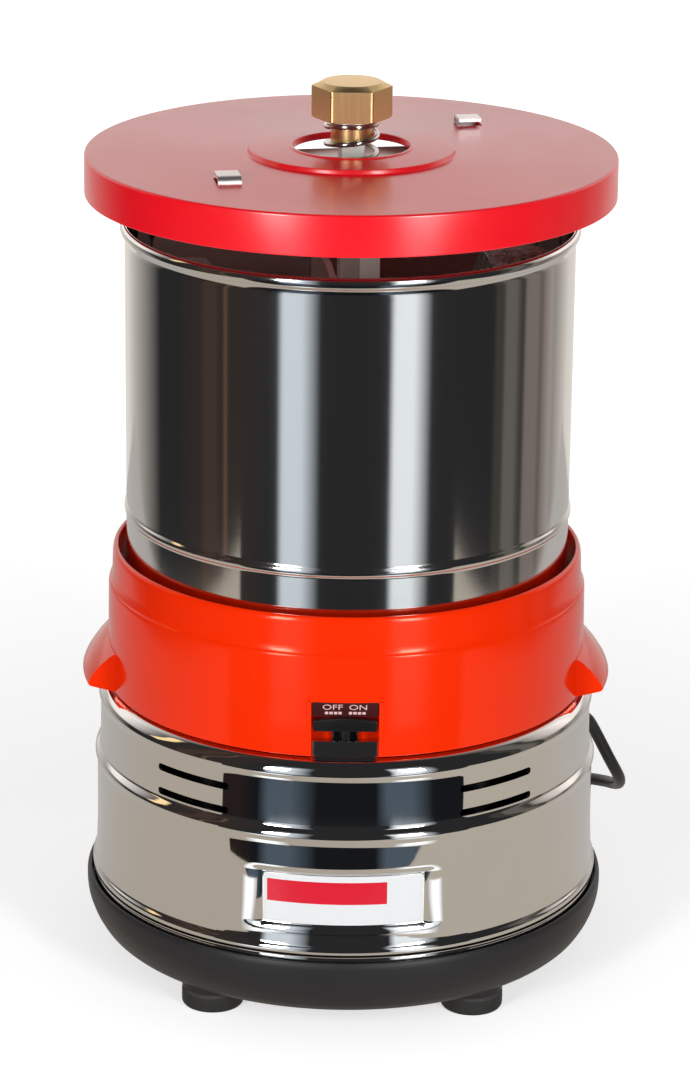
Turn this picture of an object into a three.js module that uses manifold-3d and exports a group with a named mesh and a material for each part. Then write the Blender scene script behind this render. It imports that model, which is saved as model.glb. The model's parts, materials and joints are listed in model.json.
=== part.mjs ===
// Table-top chocolate melanger: a steel drum with a granite floor turns under two granite rollers.
// Millimetres, +Z up, front towards -Y. Heights are measured from the underside of the base tray,
// and the whole machine is lifted by the foot pads at the end, so that it stands on z = 0.
import * as THREE from "three";
import { mergeVertices } from "three/addons/utils/BufferGeometryUtils.js";
import Module from "manifold-3d";

const wasm = await Module();
wasm.setup();

// Driving dimensions
const FOOT_HEIGHT = 14.2;
const FOOT_R = 14.4;
const GAP = 0.3; // between pieces that touch
const FINE = 36; // segments of a large round wall
const MEDIUM = 24;
const SMALL = 16;

const CORNER_X = 60; // feet, pillars and chassis screws share these corners
const CORNER_Y = 72;
const CORNERS = [
  ["front_left", -CORNER_X, -CORNER_Y],
  ["front_right", CORNER_X, -CORNER_Y],
  ["rear_right", CORNER_X, CORNER_Y],
  ["rear_left", -CORNER_X, CORNER_Y],
];

const CHASSIS_Z = 118; // underside of the chassis plate
const CHASSIS_T = 3;
const CHASSIS_R = 106;

const HOUSING_BOTTOM = 123.6;
const DECK_Z = 165;
const DECK_T = 3;
const HOUSING_WALL_R = 111.4;

const GRIP_HALF = 32; // half length of a side handle, along Y
const GRIP_WALL = 2;

const NOTCH_HALF = 15.1; // switch notch in the front of the housing
const NOTCH_TOP = 149.5;
const NOTCH_BACK = 101; // distance of its back wall from the axis
const ROCKER_Z = 138.2; // the rocker switch tilts about this height

const MOTOR_Y = 72;
const MOTOR_R = 36;
const MOTOR_SHAFT_R = 4;

const PULLEY_R = 60;
const MOTOR_PULLEY_R = 6.6;
const BELT_Z = 142;
const BELT_W = 12;
const BELT_T = 2.2;
const BELT_STEPS = 14; // steps of each of the belt's two arcs

const SHAFT_R = 7;
const POST_WIDTH = 10; // square upper part of the centre shaft
const POST_CORNER_R = 6.4;
const POST_Z = 262;
const POST_TOP = 398;

const HOLDER_TURN = 10; // degrees, the roller holder sits this much anticlockwise from the front
const AXLE_Z = 285;
const AXLE_R = 5;
const ROLLER_R = 40;
const ROLLER_IN = 63.2; // the roller's inner and outer face, from the axis of the drum
const ROLLER_OUT = 92.5;
const ROLLER_CHAMFER = 2.5;
const BUSH_R = 8; // outside of the bush in the roller's bore

const STRAP_Z = 368.3;
const STRAP_T = 2;
const TAB_X = 63.5; // centre of a folded tab, in the holder's own frame
const TAB_Y = 49.5;
const LID_TOP = 373.3;
const LID_HOLE_R = 26.5;

const SPRING_MEAN_R = 11.5;
const SPRING_WIRE_R = 1.25;
const SPRING_BOTTOM = 371.85; // centre of the wire at either end
const SPRING_TOP = 386.7;
const SPRING_TURNS = 2.25;

const NUT_BOTTOM = 389.2;
const NUT_TOP = 405.5;
const NUT_FLATS = 32;

const CORD_R = 3;
const CORD_EXIT_ANGLE = 36; // degrees from +X towards +Y, where the cord leaves the shell
const CORD_EXIT_Z = 71;
const SHELL_WALL_R = 117.2; // outside of the shell at the cord's height
const GLAND_REACH = 20; // length of the tapered sleeve outside the shell
const EXIT_BEND_R = 16; // the cord bends down with this radius where it leaves the sleeve
const COIL_X = 20;
const COIL_Y = 183;
const COIL_IN = 25; // smallest radius of the coil, at the cord's centre
const COIL_PITCH = 7.5; // from one loop to the next, sideways and upwards
const COIL_LOOPS = 5.25;
const COIL_Z = -FOOT_HEIGHT + CORD_R + 1.15; // the tie passes under the lower layer
const LABEL_Z = 56.3; // the middle of the label and of its sunken place
const LABEL_R = 116.1;
const RECESS_R = 115.8; // the shell's surface behind the label
const COIL_STEPS = 24;

const PLUG_X = -46; // where the cord enters the plug
const PLUG_Y = 224;
const PLUG_Z = -FOOT_HEIGHT + 9.2;

const shellSteel = { color: 0xc9c7c2, roughness: 0.16, metalness: 1 };
const plainSteel = { color: 0xa9abad, roughness: 0.35, metalness: 1 };
const orangePlastic = { color: 0xfb3a08, roughness: 0.38, metalness: 0 };
const redPlastic = { color: 0xf0051c, roughness: 0.22, metalness: 0 };
const blackPlastic = { color: 0x2a2a2c, roughness: 0.55, metalness: 0 };
const blackRubber = { color: 0x1b1b1c, roughness: 0.8, metalness: 0 };
const whitePlastic = { color: 0xe9e6df, roughness: 0.45, metalness: 0 };
const granite = { color: 0x8d8a86, roughness: 0.7, metalness: 0 };
const brass = { color: 0xd0a258, roughness: 0.28, metalness: 1 };
const copper = { color: 0xa8581f, roughness: 0.4, metalness: 1 };
const maroon = { color: 0x4a0a10, roughness: 0.5, metalness: 0 };
const labelWhite = { color: 0xf3f3f5, roughness: 0.4, metalness: 0 };

const machine = new THREE.Group();
machine.position.z = FOOT_HEIGHT;

// Adds one named piece to the machine.
function piece(name, solid, look) {
  const geometry = solid.isBufferGeometry ? solid : toGeometry(solid);
  const mesh = new THREE.Mesh(geometry, new THREE.MeshStandardMaterial(look));
  mesh.name = name;
  machine.add(mesh);
}

// Solids are manifold-3d bodies made from three.js geometry.
function toSolid(geometry) {
  const bare = geometry.index ? geometry.toNonIndexed() : geometry.clone();
  bare.deleteAttribute("normal");
  bare.deleteAttribute("uv");
  const merged = mergeVertices(bare, 1e-4);
  return new wasm.Manifold(
    new wasm.Mesh({
      numProp: 3,
      vertProperties: merged.attributes.position.array,
      triVerts: new Uint32Array(merged.index.array),
    }),
  );
}

function toGeometry(solid) {
  const mesh = solid.getMesh();
  const geometry = new THREE.BufferGeometry();
  geometry.setAttribute("position", new THREE.BufferAttribute(mesh.vertProperties, 3));
  geometry.setIndex(new THREE.BufferAttribute(mesh.triVerts, 1));
  return geometry;
}

const join = (first, ...rest) => rest.reduce((whole, next) => whole.add(next), first);
const cut = (first, ...rest) => rest.reduce((whole, next) => whole.subtract(next), first);
const common = (first, second) => first.intersect(second);

// A body of revolution about Z from [radius, height] points, outer wall upwards.
function revolve(points, segments = FINE) {
  const profile = points.map(([r, z]) => new THREE.Vector2(r, z));
  const [first, last] = [profile[0], profile[profile.length - 1]];
  const onAxis = first.x === 0 && last.x === 0;
  if (!onAxis) profile.push(first.clone());
  return toSolid(new THREE.LatheGeometry(profile, segments).rotateX(Math.PI / 2));
}

const disc = (r, low, high, segments = SMALL) =>
  revolve([[0, low], [r, low], [r, high], [0, high]], segments);

const ring = (inner, outer, low, high, segments = MEDIUM) =>
  revolve([[inner, low], [outer, low], [outer, high], [inner, high]], segments);

function block(x0, x1, y0, y1, z0, z1) {
  const box = new THREE.BoxGeometry(x1 - x0, y1 - y0, z1 - z0);
  return toSolid(box.translate((x0 + x1) / 2, (y0 + y1) / 2, (z0 + z1) / 2));
}

// An outline in the XY plane, raised from one height to another.
function prism(shape, low, high, curveSegments = 8) {
  const options = { depth: high - low, bevelEnabled: false, curveSegments };
  return toSolid(new THREE.ExtrudeGeometry(shape, options).translate(0, 0, low));
}

function roundedRectangle(width, height, radius) {
  const [x, y] = [width / 2, height / 2];
  const shape = new THREE.Shape();
  shape.moveTo(-x + radius, -y);
  shape.lineTo(x - radius, -y);
  shape.absarc(x - radius, -y + radius, radius, -Math.PI / 2, 0, false);
  shape.lineTo(x, y - radius);
  shape.absarc(x - radius, y - radius, radius, 0, Math.PI / 2, false);
  shape.lineTo(-x + radius, y);
  shape.absarc(-x + radius, y - radius, radius, Math.PI / 2, Math.PI, false);
  shape.lineTo(-x, -y + radius);
  shape.absarc(-x + radius, -y + radius, radius, Math.PI, 1.5 * Math.PI, false);
  return shape;
}

const polygon = (points) => new THREE.Shape(points.map(([x, y]) => new THREE.Vector2(x, y)));
const lifted = (solid, x, y, z = 0) => solid.translate([x, y, z]);
const turned = (solid, degrees) => solid.rotate([0, 0, degrees]);
const alongX = (solid) => solid.rotate([0, 90, 0]); // what stood along +Z now lies along +X
const facingFront = (solid) => solid.rotate([90, 0, 0]); // what stood along +Z now points to -Y
const radians = THREE.MathUtils.degToRad;

// Parts under the lid are drawn square to the axes and then turned with the holder.
const withHolder = (solid) => turned(solid, HOLDER_TURN);

// The black tray that carries everything: a rounded bowl with a ledge for the steel shell,
// four pillars for the chassis, air slots in its floor and four bosses for the feet.
function baseTray() {
  let tray = revolve([
    [0, 0], [111.4, 0], [115.9, 3.9], [119.4, 9.8], [121.6, 16], [122.2, 20.5], [122.2, 25.6],
    [121.2, 28], [119.9, 27.4], [119.9, 22.4], [116.4, 22.4], [116.4, 11], [112.4, 3], [0, 3],
  ]);
  for (const [, x, y] of CORNERS) {
    const pillar = disc(6, 2, CHASSIS_Z - GAP, 12);
    const boss = disc(FOOT_R, -5, 1);
    tray = join(tray, lifted(pillar, x, y), lifted(boss, x, y));
    tray = cut(tray, lifted(disc(1.6, 100, 120, 8), x, y));
  }
  const slot = prism(roundedRectangle(44, 5, 2.4), -1, 4, 2);
  for (let i = 0; i < 5; i += 1) tray = cut(tray, lifted(slot, 0, -6 + 12 * i));
  return tray;
}

// A rubber pad under one boss of the tray.
const footPad = () =>
  revolve([
    [0, -FOOT_HEIGHT], [FOOT_R - 1, -FOOT_HEIGHT], [FOOT_R, -FOOT_HEIGHT + 1.4],
    [FOOT_R, -6.4], [FOOT_R - 1, -5 - GAP], [0, -5 - GAP],
  ], SMALL);

// The sunken place for the label, as a tool that is cut out of the shell: a bent box whose back
// lies 1.2 mm under the shell's face and curves up to it along all four sides.
function labelRecess() {
  const across = [0, 9.5, 19, 28.5, 38, 40.5, 43, 45.5, 48];
  const upwards = [0, 12.6, 13.6, 14.8, 16.2];
  const tool = new THREE.BoxGeometry(16, 8, 1, 16, 8, 1);
  const points = tool.attributes.position;
  for (let i = 0; i < points.count; i += 1) {
    const [column, row] = [points.getX(i), points.getY(i)];
    const u = Math.sign(column) * across[Math.abs(Math.round(column))];
    const v = Math.sign(row) * upwards[Math.abs(Math.round(row))];
    const z = LABEL_Z + v;
    const away = Math.hypot(Math.max(Math.abs(u) - 38, 0) / 10, Math.max(Math.abs(v) - 12.6, 0) / 3.6);
    const face = 117.3 + 0.043 * Math.max(54 - z, 0);
    const back = face - (face - RECESS_R) * (1 - Math.min(away, 1)) ** 2;
    const r = points.getZ(i) > 0 ? 122 : back;
    points.setXYZ(i, r * Math.sin(u / 117), -r * Math.cos(u / 117), z);
  }
  return toSolid(tool);
}

// Rolled steel shell with three beads, a sunken place for the label and cooling slots.
function steelShell() {
  const outer = [
    [118.9, 22.7], [119.1, 28.4], [118.5, 29.6], [119.5, 31.4], [119.3, 33.4], [118.1, 35],
    [117, 54], [116.9, 82.8], [117.9, 85.6], [117.5, 88.4], [115.5, 90.6], [115, 112.8],
    [116, 115.4], [115.4, 118.2], [112.6, 122.2], [108.7, 123], [108.5, 130],
  ];
  const inner = [
    [107.4, 130], [107.4, 121.8], [113.6, 114], [113.8, 90], [115.7, 80], [117.6, 22.7],
  ];
  let shell = revolve([...outer, ...inner]);
  const backing = revolve([
    [114.9, 38.5], [117.3, 38.5], [116.9, 54], [116.8, 74.5], [114.9, 74.5],
  ]);
  const outline = facingFront(prism(roundedRectangle(98, 36, 6), 60, 130, 3));
  shell = cut(join(shell, common(backing, lifted(outline, 0, 0, LABEL_Z))), labelRecess());
  const slot = facingFront(prism(roundedRectangle(40.6, 3.4, 1.65), 90, 130, 2));
  for (const angle of [-37, 37])
    for (const z of [94, 105.5]) shell = cut(shell, turned(lifted(slot, 0, 0, z), angle));
  const cordHole = alongX(disc(7.2, 90, 130));
  return cut(shell, turned(lifted(cordHole, 0, 0, CORD_EXIT_Z), CORD_EXIT_ANGLE));
}

function frontLabel() {
  const outline = facingFront(prism(roundedRectangle(73, 23.6, 1.2), 60, 130, 1));
  const sheet = ring(LABEL_R, LABEL_R + 0.6, 30, 80, 2 * FINE);
  return common(sheet, lifted(outline, 0, 0, LABEL_Z));
}

// One side handle: a sloping hood with closed ends, hollow underneath for the fingers.
function grip() {
  const hood = revolve([
    [110.3, 123.2], [122.8, 126.4], [123.5, 127.4], [122.6, 129.8], [119.2, 135],
    [114.2, 140.2], [110.3, 142.6],
  ], 72);
  const inside = revolve([
    [112.3, 120], [121.3, 120], [121.3, 128.6], [117.8, 133.6], [112.3, 139],
  ], 72);
  const outer = common(hood, block(90, 130, -GRIP_HALF, GRIP_HALF, 110, 150));
  const hollow = GRIP_HALF - GRIP_WALL;
  return cut(outer, common(inside, block(90, 130, -hollow, hollow, 110, 150)));
}

// Orange ring that holds the drum's well, the switch notch and both handles.
function upperHousing() {
  let housing = revolve([
    [109.2, HOUSING_BOTTOM], [111.7, HOUSING_BOTTOM], [110.9, 171], [109.9, 172],
    [109.2, 174.6], [108.8, 186.8], [107.6, 188.7], [106, 188.3], [105.7, DECK_Z + DECK_T],
    [24, DECK_Z + DECK_T], [24, DECK_Z], [108.6, DECK_Z],
  ]);
  for (const [, x, y] of CORNERS) {
    const leg = disc(6, CHASSIS_Z + CHASSIS_T + GAP, DECK_Z + 1, 12);
    housing = join(housing, lifted(leg, x, y));
    housing = cut(housing, lifted(disc(2, 110, 135, 8), x, y));
  }
  housing = join(housing, turned(grip(), 0), turned(grip(), 180));

  const back = -NOTCH_BACK;
  const wide = NOTCH_HALF + 2;
  const front = -(HOUSING_WALL_R - 1);
  const recess = join(
    block(-wide, wide, back, back + 2, 126.5, NOTCH_TOP + 2),
    block(-wide, wide, front, back + 2, NOTCH_TOP, NOTCH_TOP + 2),
    block(-wide, -NOTCH_HALF, front, back + 1, 130.6, NOTCH_TOP + 1),
    block(NOTCH_HALF, wide, front, back + 1, 130.6, NOTCH_TOP + 1),
    block(-wide, wide, -108.4, back + 1, 142.2, NOTCH_TOP + 1),
  );
  const opening = block(-NOTCH_HALF, NOTCH_HALF, -115, -108.5, 120, NOTCH_TOP);
  const space = block(-NOTCH_HALF, NOTCH_HALF, -108.6, back, 120, 142.2);
  housing = cut(join(cut(housing, opening), recess), space, opening);
  const switchWindow = block(-6.1, 6.1, back - 1, back + 3, 120, 134.9);
  const pinHole = facingFront(disc(1.25 + GAP, 90, 115, 8));
  return cut(housing, switchWindow, lifted(pinHole, 0, 0, ROCKER_Z));
}

const switchLabel = () => block(-14.8, 14.8, -109.5, -108.7, 142.4, 149.2);

// Switch block behind the rocker's stem, with two contact wells in its face.
function switchBody() {
  const well = block(0, 3, -105, -102.2, 127, 133.4);
  const body = block(-5.8, 5.8, -104, -88, 125.6, 134.6);
  return cut(body, lifted(well, -5, 0), lifted(well, 2.2, 0));
}

// The rocker: a wide finger bar, lower at its ends, with a stem in the middle.
function switchRocker() {
  const outline = polygon([
    [-14.3, 135.1], [-1.35, 135.1], [-1.35, 133], [2, 133], [2, 135.1], [14.3, 135.1],
    [14.3, 140], [0, 141.4], [-14.3, 140],
  ]);
  const bar = facingFront(prism(outline, 104.9, 109.4));
  const stem = block(-1.35, 2, -106.6, -104.9, 126.6, 134);
  const bore = facingFront(disc(1.32, 100, 108, 16));
  return cut(join(bar, stem), lifted(bore, 0, 0, ROCKER_Z));
}

const rockerPin = () => lifted(facingFront(disc(1.25, 97, 107.6, 16)), 0, 0, ROCKER_Z);

function chassisPlate() {
  const top = CHASSIS_Z + CHASSIS_T;
  let plate = ring(8.3, CHASSIS_R, CHASSIS_Z, top, 36);
  for (const [, x, y] of CORNERS) plate = cut(plate, lifted(disc(2.3, 110, 130, 8), x, y));
  plate = cut(plate, lifted(disc(12, 110, 130), 0, MOTOR_Y));
  for (const side of [-1, 1]) plate = cut(plate, lifted(disc(16, 110, 130), 62 * side, 0));
  return plate;
}

// A screw that clamps a housing leg and the chassis plate to a pillar of the tray.
function chassisScrew() {
  const tip = disc(1.2, 104, 121, 8);
  return join(tip, disc(1.6, 120, 134, 8));
}

// Fixed post in the middle: flange on the chassis, round journal, then a square top.
function centreShaft() {
  const plate = CHASSIS_Z + CHASSIS_T + GAP;
  const round = revolve([
    [0, 106], [8, 106], [8, plate], [35, plate], [35, plate + 5], [33, plate + 6], [12, plate + 6],
    [12, 136], [9.5, 136], [9.5, 138.7], [SHAFT_R, 138.7], [SHAFT_R, POST_Z], [0, POST_Z],
  ], MEDIUM);
  const half = POST_WIDTH / 2;
  const square = block(-half, half, -half, half, POST_Z - 1, POST_TOP);
  const rounded = disc(POST_CORNER_R, POST_Z - 1, POST_TOP, MEDIUM);
  return join(round, withHolder(common(square, rounded)));
}

function hexagon(flats, low, high) {
  const corners = [];
  for (let i = 0; i < 6; i += 1) {
    const angle = (i * Math.PI) / 3;
    const reach = flats / Math.sqrt(3);
    corners.push([reach * Math.cos(angle), reach * Math.sin(angle)]);
  }
  return prism(polygon(corners), low, high);
}

const shaftNut = () => cut(hexagon(26, 109, CHASSIS_Z - GAP), disc(8.3, 100, 125));

// Motor, hung under the chassis plate behind the shaft
const atMotor = (solid) => lifted(solid, 0, MOTOR_Y);

function motorCase() {
  const wall = 2.2;
  let shell = revolve([
    [7.4, 32], [MOTOR_R - 2, 32], [MOTOR_R, 34], [MOTOR_R, 104], [MOTOR_R - wall, 104],
    [MOTOR_R - wall, 35], [10, 35], [10, 41], [7.4, 41],
  ], MEDIUM);
  const vent = block(20, 40, -3, 3, 50, 76);
  for (let i = 0; i < 4; i += 1) shell = cut(shell, turned(vent, 45 + 90 * i));
  return atMotor(shell);
}

function motorEndCap() {
  let cap = ring(MOTOR_SHAFT_R + 0.08, MOTOR_R, 104 + GAP, 108.3);
  for (let i = 0; i < 4; i += 1) {
    const post = lifted(disc(4, 107, CHASSIS_Z - GAP, 12), 27, 0);
    cap = join(cap, turned(post, 45 + 90 * i));
  }
  return atMotor(cap);
}

const motorBush = () => atMotor(ring(MOTOR_SHAFT_R + 0.08, 7.1, 32, 41));
const statorCore = () => atMotor(ring(22.3, 33.5, 48, 84));

// Copper wound through the core and bulging at both of its ends.
const statorWindings = () =>
  atMotor(
    revolve([
      [20.6, 38], [30, 38], [31, 47.7], [22, 47.7], [22, 84.3], [31, 84.3], [30, 96],
      [20.6, 96],
    ], SMALL),
  );

const motorRotor = () =>
  atMotor(
    revolve([
      [0, 8], [MOTOR_SHAFT_R, 8], [MOTOR_SHAFT_R, 46], [19.6, 46], [19.6, 86],
      [MOTOR_SHAFT_R, 86], [MOTOR_SHAFT_R, 158], [0, 158],
    ], MEDIUM),
  );

function coolingFan() {
  const blade = block(6, 30, -0.8, 0.8, -5, 5).rotate([32, 0, 0]);
  let fan = ring(MOTOR_SHAFT_R + GAP, 8, 13, 24, SMALL);
  for (let i = 0; i < 7; i += 1)
    fan = join(fan, lifted(turned(blade, (360 * i) / 7), 0, 0, 18.5));
  return atMotor(fan);
}

const motorPulley = () =>
  atMotor(
    revolve([
      [MOTOR_SHAFT_R + GAP, 139], [8.8, 139], [8.8, 140.4], [MOTOR_PULLEY_R, 141.4],
      [MOTOR_PULLEY_R, 154.6], [8.8, 155.6], [8.8, 157], [MOTOR_SHAFT_R + GAP, 157],
    ], SMALL),
  );

// The belt's outline: two arcs joined by the tangent lines of the two pulleys.
function beltOutline(offset, Kind) {
  const [large, small] = [PULLEY_R + offset, MOTOR_PULLEY_R + offset];
  const lean = Math.asin((large - small) / MOTOR_Y);
  const outline = new Kind();
  outline.absarc(0, MOTOR_Y, small, lean, Math.PI - lean, false);
  outline.absarc(0, 0, large, Math.PI - lean, 2 * Math.PI + lean, false);
  return outline;
}

function driveBelt() {
  const shape = beltOutline(GAP + BELT_T, THREE.Shape);
  const hole = beltOutline(GAP, THREE.Shape);
  return cut(
    prism(shape, BELT_Z, BELT_Z + BELT_W, BELT_STEPS),
    prism(hole, BELT_Z - 1, BELT_Z + BELT_W + 1, BELT_STEPS),
  );
}

// Large pulley with its hub on the shaft; three pins on its top drive the drum.
function drivenPulley() {
  const seat = 16.3;
  let pulley = revolve([
    [seat, 137], [20, 137], [20, 146], [56, 146], [56, 139.5], [62, 139.5],
    [PULLEY_R, 141.6], [PULLEY_R, 154.4], [62, 156.5], [56, 156.5], [56, 150], [20, 150],
    [20, 196], [42, 196], [42, 203.4], [seat, 203.4], [seat, 185.7], [9, 185.7],
    [9, 148.3], [seat, 148.3],
  ], 30);
  for (let i = 0; i < 3; i += 1)
    pulley = join(pulley, turned(lifted(disc(5, 202, 206.2, 12), 33, 0), 120 * i));
  for (let i = 0; i < 4; i += 1)
    pulley = cut(pulley, turned(lifted(disc(9, 144, 152, 12), 38, 0), 45 + 90 * i));
  return pulley;
}

const bearing = (low) => ring(SHAFT_R + 0.08, 16, low, low + 9);

// Stainless drum with a rolled rim, a bead at its floor, a skirt below and a centre tube.
const drum = () =>
  revolve([
    [101.5, 178], [102.5, 178], [102.5, 204.6], [103.3, 207], [102.5, 209.4],
    [102.5, 335], [104.4, 337.2], [104.7, 340], [102.9, 341.6], [101.5, 340],
    [101.5, 209], [11, 209], [11, 300], [9, 300], [9, 207], [101.5, 207],
  ]);

function dogPlate() {
  let plate = ring(15, 50, 203.8, 206.7);
  for (let i = 0; i < 3; i += 1)
    plate = cut(plate, turned(lifted(disc(5.6, 200, 210, 12), 33, 0), 120 * i));
  return plate;
}

const baseStone = () =>
  revolve([
    [13, 209.3], [100.6, 209.3], [100.6, 242.7], [98.6, 244.7], [13, 244.7],
  ], FINE);

// White holder: a round foot over the drum's tube, and a square column up to the lid.
function rollerHolder() {
  const foot = revolve([[0, 262], [24, 262], [26, 264], [26, 306], [24, 308], [0, 308]], MEDIUM);
  const column = block(-18, 18, -20, 20, 300, STRAP_Z - GAP);
  const half = POST_WIDTH / 2 + GAP;
  const squareBore = block(-half, half, -half, half, 300, 380);
  const axleBore = lifted(alongX(disc(AXLE_R + GAP, -30, 30, 16)), 0, 0, AXLE_Z);
  const slot = block(0, 9.6, -21, -13, 318, 360);
  const bladeSlot = block(-1.5 - GAP, 1.5 + GAP, 19.6, 30, 272 - GAP, 295 + GAP);
  const whole = join(foot, column);
  return withHolder(cut(whole, disc(12.5, 255, 303), squareBore, axleBore, slot, bladeSlot));
}

// What rides on the right arm of the holder; the left arm has the same, half a turn round.
const onArm = (solid, side) =>
  withHolder(turned(lifted(alongX(solid), 0, 0, AXLE_Z), side === "right" ? 0 : 180));

const rollerAxle = (side) =>
  onArm(revolve([[0, 14], [AXLE_R, 14], [AXLE_R, 93.2], [8, 93.2], [8, 96], [0, 96]], SMALL), side);

const axleSpacer = (side) => onArm(ring(AXLE_R + GAP, 9, 26.3, 61.6, SMALL), side);

const rollerBush = (side) =>
  onArm(
    revolve([
      [AXLE_R + GAP, 61.9], [10.5, 61.9], [10.5, ROLLER_IN - GAP], [BUSH_R, ROLLER_IN - GAP],
      [BUSH_R, 92.8], [AXLE_R + GAP, 92.8],
    ], SMALL),
    side,
  );

function rollerStone(side) {
  const flat = ROLLER_R - ROLLER_CHAMFER;
  const stone = revolve([
    [BUSH_R + GAP, ROLLER_IN], [flat, ROLLER_IN], [ROLLER_R, ROLLER_IN + ROLLER_CHAMFER],
    [ROLLER_R, ROLLER_OUT - ROLLER_CHAMFER], [flat, ROLLER_OUT], [BUSH_R + GAP, ROLLER_OUT],
  ], 30);
  return onArm(stone, side);
}

// Blade with a tongue in the back of the holder; it sweeps the stone and the drum's wall.
function scraper() {
  const outline = polygon([
    [26.4, 250], [96, 246.4], [99.6, 248], [99.6, 296], [92, 306], [60, 306], [26.4, 298],
    [26.4, 295], [20, 295], [20, 272], [26.4, 272],
  ]);
  const blade = prism(outline, -1.5, 1.5).rotate([90, 0, 90]);
  return withHolder(blade);
}

// Steel strap on top of the column; two arms end in tabs that stand through the lid.
function lidCarrier() {
  const top = STRAP_Z + STRAP_T;
  let strap = prism(roundedRectangle(150, 40, 4), STRAP_Z, top, 3);
  for (const side of [-1, 1]) {
    const arm = block(57, 74, 15, 56, STRAP_Z, top);
    const riser = block(62.9, 68.7, 53.6, 55.2, STRAP_Z, 375.1);
    const fold = block(TAB_X - 5.2, TAB_X + 5.2, TAB_Y - 5.7, 55.2, 373.6, 375.1);
    strap = join(strap, turned(join(arm, riser, fold), side > 0 ? 0 : 180));
  }
  return withHolder(cut(strap, disc(9, 360, 380)));
}

// Red lid: flat top, skirt, a raised ring round the hole, and two windows for the tabs.
function lid() {
  const under = LID_TOP - 2.7;
  const top = revolve([
    [118.1, 354.8], [120.5, 354.8], [120.4, LID_TOP - 0.7], [119.7, LID_TOP],
    [47, LID_TOP], [46.4, 375.4], [28.6, 375.8], [28, 376.4],
    [LID_HOLE_R, 376.4], [LID_HOLE_R, 373.2], [44, 373.2], [44.4, under], [117, under],
  ]);
  const window = (side) => {
    const [x, y] = [side * TAB_X, side * TAB_Y];
    return withHolder(block(x - 5.65, x + 5.65, y - 6.15, y + 6.15, 360, 380));
  };
  return cut(top, window(-1), window(1));
}

const thrustWasher = () => ring(10, 13.6, 388.2, 388.9, 24);

// Brass tension nut: a chamfered hexagon with a collar inside the spring and a blind bore.
function tensionNut() {
  const chamfer = revolve([
    [0, NUT_BOTTOM], [17.4, NUT_BOTTOM], [18.6, NUT_BOTTOM + 0.8], [18.6, NUT_TOP - 2.1],
    [13.2, NUT_TOP], [0, NUT_TOP],
  ], MEDIUM);
  const head = common(hexagon(NUT_FLATS, NUT_BOTTOM, NUT_TOP), chamfer);
  return cut(join(head, disc(9.5, 378, NUT_BOTTOM + 1, 24)), disc(6.5, 370, 398.8, 24));
}

// A tube along a row of points, its rings carried from point to point without twist.
function woundTube(points, radius, sides) {
  const corners = [];
  const faces = [];
  const along = new THREE.Vector3();
  const side = new THREE.Vector3();
  const up = new THREE.Vector3();
  points.forEach((point, i) => {
    const next = points[Math.min(i + 1, points.length - 1)];
    const last = points[Math.max(i - 1, 0)];
    along.subVectors(next, last).normalize();
    if (i === 0) side.crossVectors(along, new THREE.Vector3(0, 0, 1));
    else side.addScaledVector(along, -side.dot(along));
    side.normalize();
    up.crossVectors(along, side);
    for (let k = 0; k < sides; k += 1) {
      const angle = (2 * Math.PI * k) / sides;
      const corner = point.clone();
      corner.addScaledVector(side, radius * Math.cos(angle));
      corner.addScaledVector(up, radius * Math.sin(angle));
      corners.push(corner.x, corner.y, corner.z);
    }
  });
  const rings = points.length;
  for (let i = 0; i + 1 < rings; i += 1)
    for (let k = 0; k < sides; k += 1) {
      const [a, b] = [i * sides + k, i * sides + ((k + 1) % sides)];
      faces.push(a, b, a + sides, b, b + sides, a + sides);
    }
  for (let k = 1; k + 1 < sides; k += 1) {
    const end = (rings - 1) * sides;
    faces.push(0, k + 1, k, end, end + k, end + k + 1);
  }
  const geometry = new THREE.BufferGeometry();
  geometry.setAttribute("position", new THREE.Float32BufferAttribute(corners, 3));
  geometry.setIndex(faces);
  return geometry;
}

// Least gap between stretches of a tube that are more than half a loop apart.
function leastGap(points, radius, stepsApart) {
  let least = Infinity;
  for (let i = 0; i < points.length; i += 1)
    for (let j = i + stepsApart; j < points.length; j += 1)
      least = Math.min(least, points[i].distanceTo(points[j]) - 2 * radius);
  return least;
}

const UP = new THREE.Vector3(0, 0, 1);
const smooth = (t) => t * t * (3 - 2 * t);

// Right-handed spring that starts at the front; both of its ends lie flat.
function springPoints() {
  const points = [];
  const steps = Math.round(SPRING_TURNS * 12);
  for (let i = 0; i <= steps; i += 1) {
    const turn = (SPRING_TURNS * i) / steps;
    const rise = THREE.MathUtils.clamp((turn - 0.12) / 1.83, 0, 1);
    const angle = 2 * Math.PI * turn - Math.PI / 2;
    const z = SPRING_BOTTOM + (SPRING_TOP - SPRING_BOTTOM) * rise;
    points.push(new THREE.Vector3(SPRING_MEAN_R, 0, z).applyAxisAngle(UP, angle));
  }
  return points;
}

// The cord is coiled inwards on the surface, climbs one layer and is coiled outwards again.
// Both of its ends run straight for one diameter.
function coilPoints() {
  const points = [];
  const steps = Math.round(COIL_LOOPS * COIL_STEPS);
  const middle = COIL_LOOPS * Math.PI;
  for (let i = 0; i <= steps; i += 1) {
    const angle = (2 * Math.PI * i) / COIL_STEPS;
    const away = Math.max(Math.abs(angle - middle) - Math.PI / 2, 0);
    const r = COIL_IN + (COIL_PITCH * away) / (2 * Math.PI);
    const climb = smooth(THREE.MathUtils.clamp((angle - middle) / Math.PI + 0.5, 0, 1));
    points.push(
      new THREE.Vector3(
        COIL_X + r * Math.cos(angle),
        COIL_Y + r * Math.sin(angle),
        COIL_Z + COIL_PITCH * climb,
      ),
    );
  }
  const lead = points[0].clone();
  const tail = points.at(-1).clone();
  lead.y -= 2 * CORD_R;
  tail.x -= 2 * CORD_R;
  return [lead, ...points, tail];
}

const COIL_OUT = COIL_IN + COIL_PITCH * (COIL_LOOPS / 2 - 0.25);

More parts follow.
